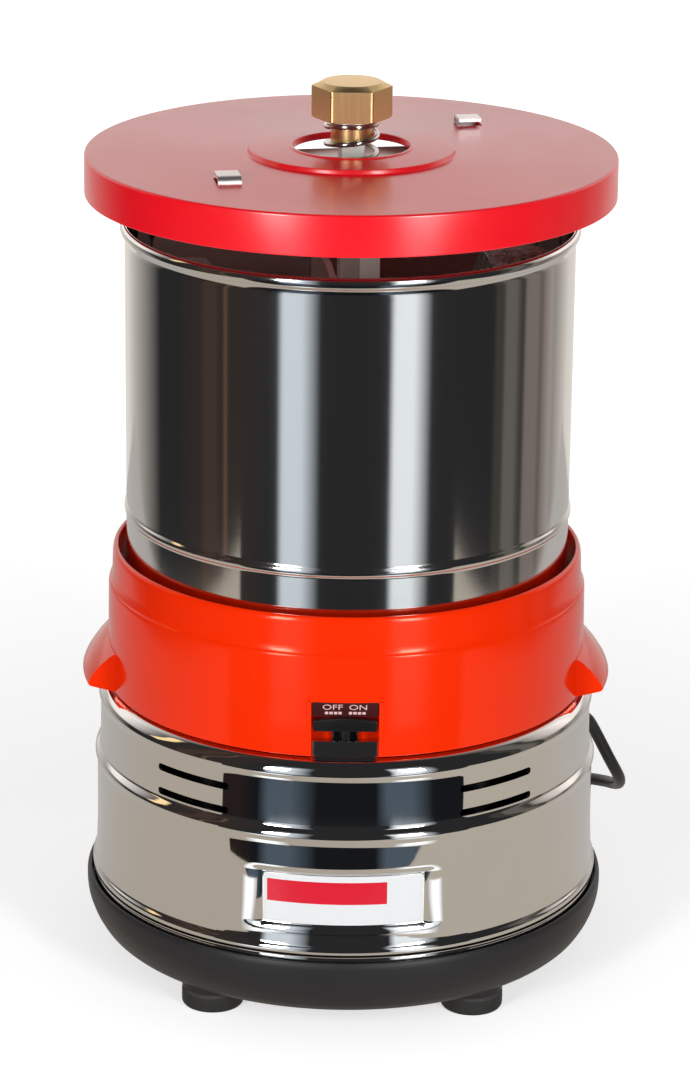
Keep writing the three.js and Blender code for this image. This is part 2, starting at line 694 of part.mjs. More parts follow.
// Points of the cord's free run from the gland to the coil, chosen by eye from the photograph.
function freeRun() {
  const angle = radians(CORD_EXIT_ANGLE);
  const tip = SHELL_WALL_R + GLAND_REACH + GAP;
  const bend = [0, 12, 24, 36, 48, 60].map((degrees) => {
    const reach = tip + EXIT_BEND_R * Math.sin(radians(degrees));
    const fall = EXIT_BEND_R * (1 - Math.cos(radians(degrees)));
    return [reach * Math.cos(angle), reach * Math.sin(angle), CORD_EXIT_Z - fall];
  });
  const points = [
    ...bend, [124.8, 90.2, 58.4], [127.2, 91, 53.6], [129.6, 91.5, 48.8], [132.1, 91.9, 43.8],
    [134.6, 93, 38.9], [136.8, 95.6, 34], [138.1, 99.8, 29.3], [138.2, 106, 25], [136.3, 114, 21.6],
    [131.8, 122.6, 19.3], [124, 130.6, 17.2], [112.5, 137, 13.8], [100.3, 140.8, 9.2],
    [88.5, 142.3, 3.8], [78.4, 144.2, -1.2], [70.3, 149.3, -5.8], [64.9, 157.4, -9],
  ].map(([x, y, z]) => new THREE.Vector3(x, y, z));
  const end = coilPoints()[0];
  const before = end.clone();
  before.y -= 10;
  return [...points, before, end];
}

function cordTube(points, steps, sides = 8) {
  const corners = [];
  for (let k = 0; k < sides; k += 1) {
    const angle = (2 * Math.PI * k) / sides;
    corners.push(new THREE.Vector2(CORD_R * Math.cos(angle), CORD_R * Math.sin(angle)));
  }
  const path = new THREE.CatmullRomCurve3(points, false, "centripetal");
  const options = { steps, extrudePath: path, bevelEnabled: false };
  console.log("cord stretch of " + path.getLength().toFixed(0) + " mm");
  return new THREE.ExtrudeGeometry(new THREE.Shape(corners), options);
}

function freeCord() {
  const points = freeRun();
  points[points.length - 1].y -= GAP;
  return cordTube(points, 40);
}

function plugEndCord() {
  const start = coilPoints().at(-1);
  start.x -= GAP;
  const points = [start];
  for (const [x, share] of [[2, 0], [-12, 0.4], [-28, 0.9]])
    points.push(new THREE.Vector3(x, start.y + (PLUG_Y - start.y) * share, start.z));
  for (const x of [PLUG_X + 6, PLUG_X + GAP]) points.push(new THREE.Vector3(x, PLUG_Y, PLUG_Z));
  points[3].z = (start.z + 2 * PLUG_Z) / 3;
  return cordTube(points, 7);
}

// Strain relief: a flanged sleeve clipped in the shell, tapering along the cord.
function cordGland() {
  const wall = SHELL_WALL_R;
  const sleeve = revolve([
    [0, wall - 7], [9, wall - 7], [9, wall - 2.6], [6.9, wall - 2.6], [6.9, wall + 0.1],
    [9, wall + 0.1], [9, wall + 2.8], [6, wall + 3.8], [3.7, wall + GLAND_REACH],
    [0, wall + GLAND_REACH],
  ], SMALL);
  return turned(lifted(alongX(sleeve), 0, 0, CORD_EXIT_Z), CORD_EXIT_ANGLE);
}

// A flat tie round both layers of the coil, on the side away from the machine.
function cordTie() {
  const angle = 60;
  const [inner, outer] = [COIL_IN - 3.7, COIL_OUT + 5];
  const [low, high] = [COIL_Z - CORD_R - GAP, COIL_Z + COIL_PITCH + CORD_R + GAP];
  const band = 0.8;
  const strap = cut(
    block(inner - band, outer + band, -2.5, 2.5, low - band, high + band),
    block(inner, outer, -4, 4, low, high),
  );
  return lifted(turned(strap, angle), COIL_X, COIL_Y);
}

// Plug with two flat blades and a round earth pin, lying on its side.
function plugBody() {
  const shape = revolve([
    [0, 0], [4.2, 0], [4.8, 12], [9, 20], [9, 38], [8, 40], [0, 40],
  ], SMALL);
  const grown = shape.scale([1, 1.35, 1]);
  return lifted(grown.rotate([0, -90, 0]), PLUG_X, PLUG_Y, PLUG_Z);
}

const plugBlade = (side) =>
  lifted(block(-17, 0, -0.75, 0.75, -3.1, 3.1), PLUG_X - 40 - GAP, PLUG_Y + 6.35 * side, PLUG_Z + 2.4);

const plugEarthPin = () =>
  lifted(alongX(disc(2.4, -19, 0, 12)), PLUG_X - 40 - GAP, PLUG_Y, PLUG_Z - 5);

function runCapacitor() {
  const can = revolve([[0, 3.3], [15, 3.3], [16, 4.5], [16, 60], [14.6, 62], [0, 62]], 24);
  const terminal = block(-0.5, 0.5, -3, 3, 60, 70);
  return lifted(join(can, lifted(terminal, -6, 0), lifted(terminal, 6, 0)), -66, 8);
}

piece("base_tray", baseTray(), blackPlastic);
piece("steel_shell", steelShell(), shellSteel);
piece("front_label", frontLabel(), labelWhite);
piece("upper_housing", upperHousing(), orangePlastic);
piece("chassis_plate", chassisPlate(), plainSteel);
for (const [corner, x, y] of CORNERS) {
  piece("foot_pad_" + corner, lifted(footPad(), x, y), blackRubber);
  piece("chassis_screw_" + corner, lifted(chassisScrew(), x, y), plainSteel);
}
piece("switch_label", switchLabel(), maroon);
piece("switch_body", switchBody(), blackPlastic);
piece("switch_rocker", switchRocker(), blackPlastic);
piece("rocker_pin", rockerPin(), plainSteel);

piece("centre_shaft", centreShaft(), plainSteel);
piece("shaft_nut", shaftNut(), plainSteel);
piece("motor_case", motorCase(), plainSteel);
piece("motor_end_cap", motorEndCap(), plainSteel);
piece("motor_bush", motorBush(), brass);
piece("stator_core", statorCore(), plainSteel);
piece("stator_windings", statorWindings(), copper);
piece("motor_rotor", motorRotor(), plainSteel);
piece("cooling_fan", coolingFan(), blackPlastic);
piece("motor_pulley", motorPulley(), plainSteel);
piece("drive_belt", driveBelt(), blackRubber);
piece("run_capacitor", runCapacitor(), plainSteel);

piece("driven_pulley", drivenPulley(), blackPlastic);
piece("lower_bearing", bearing(139), plainSteel);
piece("upper_bearing", bearing(186), plainSteel);
piece("drum", drum(), shellSteel);
piece("drum_dog_plate", dogPlate(), plainSteel);
piece("base_stone", baseStone(), granite);

piece("roller_holder", rollerHolder(), whitePlastic);
for (const side of ["left", "right"]) {
  piece(side + "_roller_axle", rollerAxle(side), plainSteel);
  piece(side + "_axle_spacer", axleSpacer(side), blackPlastic);
  piece(side + "_roller_bush", rollerBush(side), whitePlastic);
  piece(side + "_roller_stone", rollerStone(side), granite);
}
piece("scraper", scraper(), whitePlastic);
piece("lid_carrier", lidCarrier(), plainSteel);
piece("lid", lid(), redPlastic);
piece("thrust_washer", thrustWasher(), plainSteel);
piece("tension_nut", tensionNut(), brass);

const spring = springPoints();
console.log("spring gap " + leastGap(spring, SPRING_WIRE_R, 8).toFixed(2) + " mm");
piece("tension_spring", woundTube(spring, SPRING_WIRE_R, 5), plainSteel);

const coil = coilPoints();
console.log("coil gap " + leastGap(coil, CORD_R, COIL_STEPS / 2).toFixed(2) + " mm");
piece("cord_coil", woundTube(coil, CORD_R, 6), blackRubber);
piece("cord_free", freeCord(), blackRubber);
piece("cord_plug_end", plugEndCord(), blackRubber);
piece("cord_gland", cordGland(), blackRubber);
piece("cord_tie", cordTie(), blackPlastic);
piece("plug_body", plugBody(), blackRubber);
piece("plug_blade_1", plugBlade(-1), brass);
piece("plug_blade_2", plugBlade(1), brass);
piece("plug_earth_pin", plugEarthPin(), brass);

const group = new THREE.Group();
group.add(machine);
export default group;
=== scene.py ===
# %% [markdown]
# Chocolate melanger: a drum on a belt drive turns a granite floor under two granite rollers.
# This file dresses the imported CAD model. It loads the model as a fixed frame, replaces the pieces
# that the eye rests on by finer ones, and gives each remaining piece a finish of its own.
# All sizes below are in millimetres, with heights from the bottom of the black base, because
# that is how the CAD drawing gives them; the feet lift the base 14.2 mm off the floor.

# %% Load the frame
import json

import bpy
import numpy as np
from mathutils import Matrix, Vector

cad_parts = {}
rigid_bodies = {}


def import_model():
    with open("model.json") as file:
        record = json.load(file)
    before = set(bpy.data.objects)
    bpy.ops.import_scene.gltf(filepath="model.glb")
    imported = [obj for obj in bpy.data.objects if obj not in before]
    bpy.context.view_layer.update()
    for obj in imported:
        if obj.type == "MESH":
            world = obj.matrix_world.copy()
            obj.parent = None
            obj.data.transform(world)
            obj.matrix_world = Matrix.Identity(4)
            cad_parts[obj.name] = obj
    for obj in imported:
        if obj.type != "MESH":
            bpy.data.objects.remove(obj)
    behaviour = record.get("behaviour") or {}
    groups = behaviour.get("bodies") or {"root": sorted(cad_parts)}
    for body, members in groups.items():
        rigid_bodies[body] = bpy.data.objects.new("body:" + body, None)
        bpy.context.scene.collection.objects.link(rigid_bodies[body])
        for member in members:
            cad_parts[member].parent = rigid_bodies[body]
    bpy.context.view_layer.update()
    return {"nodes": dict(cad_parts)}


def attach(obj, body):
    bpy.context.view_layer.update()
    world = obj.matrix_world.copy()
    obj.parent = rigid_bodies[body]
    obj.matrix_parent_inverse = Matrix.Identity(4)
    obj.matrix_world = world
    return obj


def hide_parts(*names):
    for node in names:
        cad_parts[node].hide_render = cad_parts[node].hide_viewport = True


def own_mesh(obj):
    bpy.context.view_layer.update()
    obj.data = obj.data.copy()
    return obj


bpy.data.batch_remove(list(bpy.data.objects))
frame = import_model()
nodes = frame["nodes"]

MM = 0.001
FEET = 14.2


def metres(points):
    """Drawing points in mm, heights from the base, as metres above the floor: (p + (0, 0, 14.2)) / 1000."""
    return (np.asarray(points, float) + (0, 0, FEET)) * MM


def colour(red, green, blue):
    """A screen colour from 0 to 255 as the linear colour that shaders use."""
    c = np.array([red, green, blue]) / 255
    return (*np.where(c <= 0.04045, c / 12.92, ((c + 0.055) / 1.055) ** 2.4), 1.0)


# %% [markdown]
# The photograph was taken from 1.77 m away with a long lens, looking down 18.7 degrees.
# These numbers come from fitting a pinhole camera to the ellipses of the lid, drum and base.
# A long lens keeps the verticals nearly parallel, which is why the machine looks so upright.

# %% Camera
FOCAL_PIXELS, LONG_SIDE_PIXELS = 4000, 1084
camera_data = bpy.data.cameras.new("camera")
camera_data.sensor_fit = "AUTO"
camera_data.sensor_width = 36.0
camera_data.lens = FOCAL_PIXELS / LONG_SIDE_PIXELS * 36
camera_data.clip_end = 60
camera = bpy.data.objects.new("camera", camera_data)
camera.location = (-0.00096, -1.7654, 0.7973)
camera.rotation_mode = "XYZ"
tilt, roll = np.radians([18.653, -0.631])
camera.rotation_euler = (np.pi / 2 - tilt, roll * np.cos(tilt), -roll * np.sin(tilt))
bpy.context.scene.collection.objects.link(camera)
bpy.context.scene.camera = camera
bpy.context.scene.view_settings.view_transform = "Standard"
print("lens", round(camera_data.lens, 2), "mm")


# %% [markdown]
# Every new piece starts as rows of points worked out at once with numpy. One helper turns such a
# grid into faces, one closes the ends on the axis, and one spins a profile like a lathe.
# Working with whole arrays keeps each shape a short formula that is easy to read and to change.

# %% Grids, poles and lathe work
def grid_faces(rows, columns, round_rows=True, round_columns=True):
    """Four-cornered faces between neighbours of a grid of points; a round direction joins its ends."""
    index = np.arange(rows * columns).reshape(rows, columns)
    if round_rows:
        index = np.vstack([index, index[:1]])
    if round_columns:
        index = np.hstack([index, index[:, :1]])
    a, b, c, d = index[:-1, :-1], index[1:, :-1], index[1:, 1:], index[:-1, 1:]
    return np.stack([a, b, c, d], -1).reshape(-1, 4)


def spin(profile, sides=180):
    """A lathe: each profile point (r, z) goes round to (r cos a, r sin a, z) for every angle a."""
    angle = np.linspace(0, 2 * np.pi, sides, endpoint=False)
    r, z = np.asarray(profile, float).T
    points = np.stack([
        np.outer(np.cos(angle), r), np.outer(np.sin(angle), r), np.outer(np.ones(len(angle)), z),
    ], -1)
    return close_poles(points)


def close_poles(points):
    """A spun grid as (points, faces). Columns on the axis shrink to one pole with a fan of triangles."""
    rows, columns = points.shape[:2]
    on_axis = np.hypot(points[0, :, 0], points[0, :, 1]) < 1e-6
    if not on_axis.any():
        return points.reshape(-1, 3), grid_faces(rows, columns).tolist()
    body = points[:, 1:-1]
    columns -= 2
    faces = grid_faces(rows, columns, True, False).tolist()
    poles = np.array([points[0, 0], points[0, -1]])
    first = np.arange(rows) * columns
    last = first + columns - 1
    count = rows * columns
    fan_a = np.stack([np.full(rows, count), np.roll(first, -1), first], -1)
    fan_b = np.stack([np.full(rows, count + 1), last, np.roll(last, -1)], -1)
    return np.vstack([body.reshape(-1, 3), poles]), faces + fan_a.tolist() + fan_b.tolist()


def soften(corners, radius, steps=5, closed=True):
    """Rounds corners P into curves (1-s)^2 A + 2s(1-s) P + s^2 B, with A and B a radius along the edges."""
    p = np.asarray(corners, float)
    before, after = np.roll(p, 1, 0) - p, np.roll(p, -1, 0) - p
    reach = np.broadcast_to(np.asarray(radius, float), len(p))[:, None]
    long_a = np.linalg.norm(before, axis=1, keepdims=True)
    long_b = np.linalg.norm(after, axis=1, keepdims=True)
    a = p + before / long_a * np.minimum(reach, 0.45 * long_a)
    b = p + after / long_b * np.minimum(reach, 0.45 * long_b)
    s = np.linspace(0, 1, steps)[None, :, None]
    curve = (1 - s) ** 2 * a[:, None] + 2 * s * (1 - s) * p[:, None] + s ** 2 * b[:, None]
    if closed:
        return curve.reshape(-1, p.shape[1])
    return np.vstack([p[:1], curve[1:-1].reshape(-1, p.shape[1]), p[-1:]])


# %% [markdown]
# Flat things with a rounded edge, such as labels, levers and hexagons, are an outline carried up
# through a few heights while it shrinks a little at the top and bottom. Tubes carry a round
# section along a path instead. Both are again grids, so the same faces serve them.

# %% Slabs, boxes and tubes
def slab(outline, rise, axis="z"):
    """An outline (x, y) carried through heights: each (inset, height) row moves the outline inwards."""
    flat = np.asarray(outline, float)
    along = np.roll(flat, -1, 0) - flat
    normal = np.stack([along[:, 1], -along[:, 0]], -1) / np.linalg.norm(along, axis=1, keepdims=True)
    corner = normal + np.roll(normal, 1, 0)
    corner *= 2 / np.sum(corner * corner, axis=1, keepdims=True)
    inset, height = np.asarray(rise, float).T
    ring = flat[:, None, :] - corner[:, None, :] * inset[None, :, None]
    points = np.concatenate([ring, np.broadcast_to(height[None, :, None], ring.shape[:2] + (1,))], -1)
    rows, columns = points.shape[:2]
    faces = grid_faces(rows, columns, True, False).tolist()
    index = np.arange(rows * columns).reshape(rows, columns)
    faces += [index[::-1, 0].tolist(), index[:, -1].tolist()]
    points = points.reshape(-1, 3)
    if axis == "front":
        points = points[:, [0, 2, 1]] * (1, -1, 1)
    if axis == "x":
        points = points[:, [2, 0, 1]]
    return points, faces


def edge_rise(low, high, radius, steps=4):
    """Insets and heights of a rounded edge at both ends: r (1 - sin a) in, r (1 - cos a) up."""
    a = np.linspace(0, np.pi / 2, steps)
    inset, up = radius * (1 - np.sin(a)), radius * (1 - np.cos(a))
    return np.vstack([np.stack([inset, low + up], -1), np.stack([inset, high - up], -1)[::-1]])


def rounded_rectangle(x0, x1, y0, y1, radius, steps=5):
    """A rectangle from (x0, y0) to (x1, y1) with softened corners."""
    return soften([[x0, y0], [x1, y0], [x1, y1], [x0, y1]], radius * 1.2, steps)


def box(x0, x1, y0, y1, z0, z1, radius=0.4):
    """A block between two corners with its edges rounded to the given radius."""
    outline = rounded_rectangle(x0, x1, y0, y1, radius * 1.5)
    return slab(outline, edge_rise(z0, z1, radius))


def tube(path, radius, sides=20, up=(0.0, 0.0, 1.0)):
    """A round section carried along a path: P + r (cos a U + sin a V), with U and V square to the path."""
    p = np.asarray(path, float)
    along = np.gradient(p, axis=0)
    along /= np.linalg.norm(along, axis=1, keepdims=True)
    across = np.cross(along, np.asarray(up, float))
    across /= np.linalg.norm(across, axis=1, keepdims=True)
    over = np.cross(across, along)
    a = np.linspace(0, 2 * np.pi, sides, endpoint=False)
    r = np.broadcast_to(np.asarray(radius, float), len(p))[:, None, None]
    points = p[:, None] + r * (np.cos(a)[None, :, None] * across[:, None]
                               + np.sin(a)[None, :, None] * over[:, None])
    index = np.arange(len(p) * sides).reshape(len(p), sides)
    faces = grid_faces(len(p), sides, False, True).tolist()
    faces += [index[0].tolist(), index[-1, ::-1].tolist()]
    return points.reshape(-1, 3), faces


def turned(part, degrees, centre=(0, 0)):
    """The same points turned about a vertical line: x cos a - y sin a, x sin a + y cos a."""
    a = np.radians(degrees)
    points = np.array(part[0], float)
    x, y = points[:, 0] - centre[0], points[:, 1] - centre[1]
    points[:, 0] = centre[0] + x * np.cos(a) - y * np.sin(a)
    points[:, 1] = centre[1] + x * np.sin(a) + y * np.cos(a)
    return points, part[1]


def moved(part, x=0, y=0, z=0):
    """The same points moved by x, y and z."""
    return np.asarray(part[0], float) + (x, y, z), part[1]


# %% [markdown]
# A piece may hold several closed surfaces. Each is turned so that its faces look outwards, which
# its signed volume tells: the sum of a . (b x c) / 6 over its triangles is positive for such a
# surface. Holes are then cut with a solid cutter, as a punch would. On curved sheet metal the
# cut faces would bend the reflections, so the normals of the true surface are put back.

# %% Make, cut and shade a piece
def outward(part):
    """Turns every face round where the surface's signed volume is negative."""
    points, faces = part
    corners = [(f[0], f[i], f[i + 1]) for f in faces for i in range(1, len(f) - 1)]
    a, b, c = np.asarray(points)[np.array(corners).T]
    volume = np.sum(a * np.cross(b, c)) / 6
    return points, faces if volume > 0 else [f[::-1] for f in faces]


def joined(parts):
    """Several parts as one: their points in one list, and each part's faces counted on from the last."""
    points, faces, count = [], [], 0
    for part_points, part_faces in parts:
        faces += [[i + count for i in f] for f in part_faces]
        points.append(part_points)
        count += len(part_points)
    return np.vstack(points), faces


def make(name, parts, look, body="root", replaces=(), angle=32):
    """One object of closed surfaces in drawing mm, riding on a CAD body, with smooth faces."""
    points, faces = joined([outward(part) for part in parts])
    mesh = bpy.data.meshes.new(name)
    mesh.from_pydata(metres(points).tolist(), [], faces)
    mesh.update()
    mesh.shade_smooth()
    mesh.set_sharp_from_angle(angle=np.radians(angle))
    piece = bpy.data.objects.new(name, mesh)
    bpy.context.scene.collection.objects.link(piece)
    piece.data.materials.append(look)
    if body:
        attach(piece, body)
    if replaces:
        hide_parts(*replaces)
    print(name, len(mesh.vertices), "points")
    return piece


def punch(piece, parts, angle=32):
    """Cuts solid parts out of a piece, as a punch or a mould core would, and keeps the result."""
    cutter = make(piece.name + "_cutter", parts, piece.data.materials[0], body=None)
    cut = piece.modifiers.new("cut", "BOOLEAN")
    cut.operation, cut.solver, cut.object = "DIFFERENCE", "EXACT", cutter
    solid = piece.evaluated_get(bpy.context.evaluated_depsgraph_get())
    mesh = bpy.data.meshes.new_from_object(solid)
    piece.modifiers.clear()
    piece.data = mesh
    mesh.name = piece.name
    bpy.data.objects.remove(cutter)
    mesh.shade_smooth()
    mesh.set_sharp_from_angle(angle=np.radians(angle))
    return piece


def true_normals(piece, surface_normal):
    """Gives each face corner the normal of the formula's surface where the face lies along it."""
    mesh = piece.data
    count = len(mesh.loops)
    vertex = np.zeros(count, int)
    mesh.loops.foreach_get("vertex_index", vertex)
    place = np.zeros(len(mesh.vertices) * 3)
    mesh.vertices.foreach_get("co", place)
    place = place.reshape(-1, 3) / MM - (0, 0, FEET)
    flat = np.zeros(len(mesh.polygons) * 3)
    mesh.polygons.foreach_get("normal", flat)
    size = np.zeros(len(mesh.polygons), int)
    mesh.polygons.foreach_get("loop_total", size)
    face = np.repeat(flat.reshape(-1, 3), size, axis=0)
    now = np.zeros(count * 3)
    mesh.corner_normals.foreach_get("vector", now)
    now = now.reshape(-1, 3)
    wanted, near = surface_normal(place)
    wanted, near = wanted[vertex], near[vertex]
    use = near & (np.sum(wanted * face, axis=1) > 0.9)
    mesh.normals_split_custom_set(np.where(use[:, None], wanted, now).tolist())
    return piece


def spun_normals(profile, reach=0.05):
    """Normals of a spun closed profile: each point takes the slope of the nearest profile edge."""
    p = np.asarray(profile, float)
    q = np.roll(p, -1, 0)
    along = q - p
    square = np.stack([along[:, 1], -along[:, 0]], -1) / np.linalg.norm(along, axis=1, keepdims=True)
    area = np.sum(p[:, 0] * q[:, 1] - q[:, 0] * p[:, 1])
    square *= np.sign(area)
    at_point = square + np.roll(square, 1, 0)
    at_point /= np.linalg.norm(at_point, axis=1, keepdims=True)

    def of(place):
        rz = np.stack([np.hypot(place[:, 0], place[:, 1]), place[:, 2]], -1)
        share = np.sum((rz[:, None] - p) * along, -1) / np.sum(along * along, -1)
        share = np.clip(share, 0, 1)
        off = np.linalg.norm(rz[:, None] - (p + share[..., None] * along), axis=-1)
        edge = off.argmin(1)
        at = np.arange(len(rz))
        s = share[at, edge][:, None]
        n = (1 - s) * at_point[edge] + s * np.roll(at_point, -1, 0)[edge]
        n /= np.linalg.norm(n, axis=1, keepdims=True)
        round_way = place[:, :2] / np.maximum(rz[:, :1], 1e-9)
        normal = np.concatenate([n[:, :1] * round_way, n[:, 1:]], -1)
        smooth = np.sum(square[edge] * np.roll(square, -1, 0)[edge], -1) > 0.3
        return normal, (off[at, edge] < reach) & (smooth | (s[:, 0] < 0.99))
    return of


# %% [markdown]
# Real surfaces are never even. A fine grain changes how sharply they shine and gives the light
# something to catch. The grain is one node group with a few numbers, placed in each material with
# its own values, so that every plastic and metal here gets its own scale from the same source.

# %% Shared effects: grain, turned lines, worn edges and dust
def new_group(name, inputs, outputs):
    """An empty shader node group with named float or colour sockets; returns it with its two ends."""
    group = bpy.data.node_groups.new(name, "ShaderNodeTree")
    for label, value in inputs.items():
        kind = "NodeSocketColor" if isinstance(value, tuple) else "NodeSocketFloat"
        group.interface.new_socket(label, in_out="INPUT", socket_type=kind).default_value = value
    for label, kind in outputs.items():
        group.interface.new_socket(label, in_out="OUTPUT", socket_type="NodeSocket" + kind)
    return group, group.nodes.new("NodeGroupInput"), group.nodes.new("NodeGroupOutput")


def maths(tree, operation, a, b=None, c=None, clamp=False):
    """One Math node; numbers go on its sockets, and sockets are linked to it."""
    node = tree.nodes.new("ShaderNodeMath")
    node.operation, node.use_clamp = operation, clamp
    for socket, value in zip(node.inputs, (a, b, c)):
        if isinstance(value, bpy.types.NodeSocket):
            tree.links.new(value, socket)
        elif value is not None:
            socket.default_value = value
    return node.outputs[0]


def noise(tree, vector, scale, detail=3.0, roughness=0.55):
    """A Noise Texture on the given coordinates; scale is a number or a socket."""
    node = tree.nodes.new("ShaderNodeTexNoise")
    node.inputs["Detail"].default_value = detail
    node.inputs["Roughness"].default_value = roughness
    tree.links.new(vector, node.inputs["Vector"])
    if isinstance(scale, bpy.types.NodeSocket):
        tree.links.new(scale, node.inputs["Scale"])
    else:
        node.inputs["Scale"].default_value = scale
    return node.outputs["Fac"]


def object_place(tree):
    """The place on the object in metres, which is the same as in the CAD frame."""
    return tree.nodes.new("ShaderNodeTexCoord").outputs["Object"]


def spread(tree, value, low, high):
    """A 0 to 1 value stretched from low to high."""
    node = tree.nodes.new("ShaderNodeMapRange")
    for label, number in (("From Min", 0.25), ("From Max", 0.75)):
        node.inputs[label].default_value = number
    for label, number in (("Value", value), ("To Min", low), ("To Max", high)):
        if isinstance(number, bpy.types.NodeSocket):
            tree.links.new(number, node.inputs[label])
        else:
            node.inputs[label].default_value = number
    return node.outputs["Result"]


def vary_roughness(group, inlet, outlet, fine, fine_share, broad, broad_share):
    """Roughness between Roughness - Variation and Roughness + Variation, by a mix of two noises."""
    low = maths(group, "SUBTRACT", inlet.outputs["Roughness"], inlet.outputs["Variation"])
    high = maths(group, "ADD", inlet.outputs["Roughness"], inlet.outputs["Variation"])
    both = maths(group, "ADD", maths(group, "MULTIPLY", fine, fine_share),
                 maths(group, "MULTIPLY", broad, broad_share))
    group.links.new(spread(group, both, low, high), outlet.inputs["Roughness"])


def grain_group():
    """Fine grain: noise at the given scale moves the roughness and gives a bump height."""
    group, inlet, outlet = new_group(
        "fine_grain", {"Scale": 900.0, "Roughness": 0.4, "Variation": 0.1},
        {"Roughness": "Float", "Height": "Float", "Blotch": "Float"})
    place = object_place(group)
    fine = noise(group, place, inlet.outputs["Scale"])
    broad = noise(group, place, 28.0, 4.0)
    vary_roughness(group, inlet, outlet, fine, 0.4, broad, 0.6)
    group.links.new(fine, outlet.inputs["Height"])
    group.links.new(broad, outlet.inputs["Blotch"])
    return group


def lines_group(name, upright):
    """Fine lines: noise over the distance from the axis and the height for lines round Z, over x and
    y for upright ones."""
    group, inlet, outlet = new_group(
        name, {"Lines": 3000.0, "Roughness": 0.2, "Variation": 0.05},
        {"Roughness": "Float", "Height": "Float", "Haze": "Float"})
    place = object_place(group)
    split = group.nodes.new("ShaderNodeSeparateXYZ")
    group.links.new(place, split.inputs[0])
    x, y, z = split.outputs
    r = maths(group, "SQRT", maths(group, "ADD", maths(group, "MULTIPLY", x, x),
                                   maths(group, "MULTIPLY", y, y)))
    around = maths(group, "ARCTAN2", y, x)
    join = group.nodes.new("ShaderNodeCombineXYZ")
    turned_place = ((r, 1.0), (z, 1.0), (around, 0.0006))
    upright_place = ((x, 1.0), (y, 1.0), (z, 0.012))
    for socket, (value, stretch) in enumerate(upright_place if upright else turned_place):
        group.links.new(maths(group, "MULTIPLY", value, stretch), join.inputs[socket])
    lines = noise(group, join.outputs[0], inlet.outputs["Lines"], 4.0, 0.6)
    haze = noise(group, place, 14.0, 5.0)
    vary_roughness(group, inlet, outlet, lines, 0.5, haze, 0.5)
    group.links.new(lines, outlet.inputs["Height"])
    group.links.new(haze, outlet.inputs["Haze"])
    return group


def wear_group():
    """Worn edges: where the surface is convex, broken up by noise, so that the mask isn't even."""
    group, inlet, outlet = new_group("worn_edges", {"Amount": 0.5}, {"Mask": "Float"})
    convex = group.nodes.new("ShaderNodeNewGeometry").outputs["Pointiness"]
    edge = group.nodes.new("ShaderNodeMapRange")
    for label, number in (("From Min", 0.52), ("From Max", 0.62)):
        edge.inputs[label].default_value = number
    group.links.new(convex, edge.inputs["Value"])
    broken = spread(group, noise(group, object_place(group), 420.0), 0.2, 1.0)
    mask = maths(group, "MULTIPLY", maths(group, "MULTIPLY", edge.outputs["Result"], broken),
                 inlet.outputs["Amount"], clamp=True)
    group.links.new(mask, outlet.inputs["Mask"])
    return group


def dust_group():
    """A trace of dust: on faces that look up, broken up by noise at two scales."""
    group, inlet, outlet = new_group("light_dust", {"Amount": 0.1}, {"Mask": "Float"})
    split = group.nodes.new("ShaderNodeSeparateXYZ")
    group.links.new(group.nodes.new("ShaderNodeNewGeometry").outputs["Normal"], split.inputs[0])
    up = maths(group, "MAXIMUM", split.outputs[2], 0.0)
    patches = spread(group, noise(group, object_place(group), 60.0, 6.0), 0.0, 1.0)
    mask = maths(group, "MULTIPLY", maths(group, "MULTIPLY", up, patches),
                 inlet.outputs["Amount"], clamp=True)
    group.links.new(mask, outlet.inputs["Mask"])
    return group


TURNED, DRAWN = lines_group("turned_lines", False), lines_group("drawn_lines", True)
GRAIN, WEAR, DUST = grain_group(), wear_group(), dust_group()
print("groups", [g.name for g in bpy.data.node_groups])


# %% [markdown]
# A finish is a Principled BSDF with the plain numbers on its own sockets, and the groups feeding
# colour, roughness and bump. One recipe serves the mouldings, a second the turned and rolled
# metals. The red and orange mouldings are shiny, the base and the feet have a dull fine texture.

# %% Recipes for mouldings and metals
def finish(name, base, metallic=0.0):
    """A material with its tree, shader and the colour written on the shader."""
    material = bpy.data.materials.new(name)
    material.use_nodes = True
    tree = material.node_tree
    shader = tree.nodes["Principled BSDF"]
    shader.inputs["Base Color"].default_value = base
    shader.inputs["Metallic"].default_value = metallic
    material.diffuse_color = base
    return material, tree, shader


def place_group(tree, group, **values):
    """A shared effect in a material's tree with this material's own values."""
    node = tree.nodes.new("ShaderNodeGroup")
    node.node_tree = group
    for label, value in values.items():
        node.inputs[label].default_value = value
    return node


def blend_colour(tree, mask, below, above):
    """A mix of two colours by a mask; each of the three may be a socket."""
    node = tree.nodes.new("ShaderNodeMix")
    node.data_type = "RGBA"
    for socket, value in ((node.inputs["Factor"], mask), (node.inputs[6], below), (node.inputs[7], above)):
        if isinstance(value, bpy.types.NodeSocket):
            tree.links.new(value, socket)
        else:
            socket.default_value = value
    return node.outputs[2]


def relief(tree, shader, height, depth):
    """A bump of so many metres feeding the shader's normal."""
    bump = tree.nodes.new("ShaderNodeBump")
    bump.inputs["Strength"].default_value = 1.0
    bump.inputs["Distance"].default_value = depth
    tree.links.new(height, bump.inputs["Height"])
    tree.links.new(bump.outputs["Normal"], shader.inputs["Normal"])


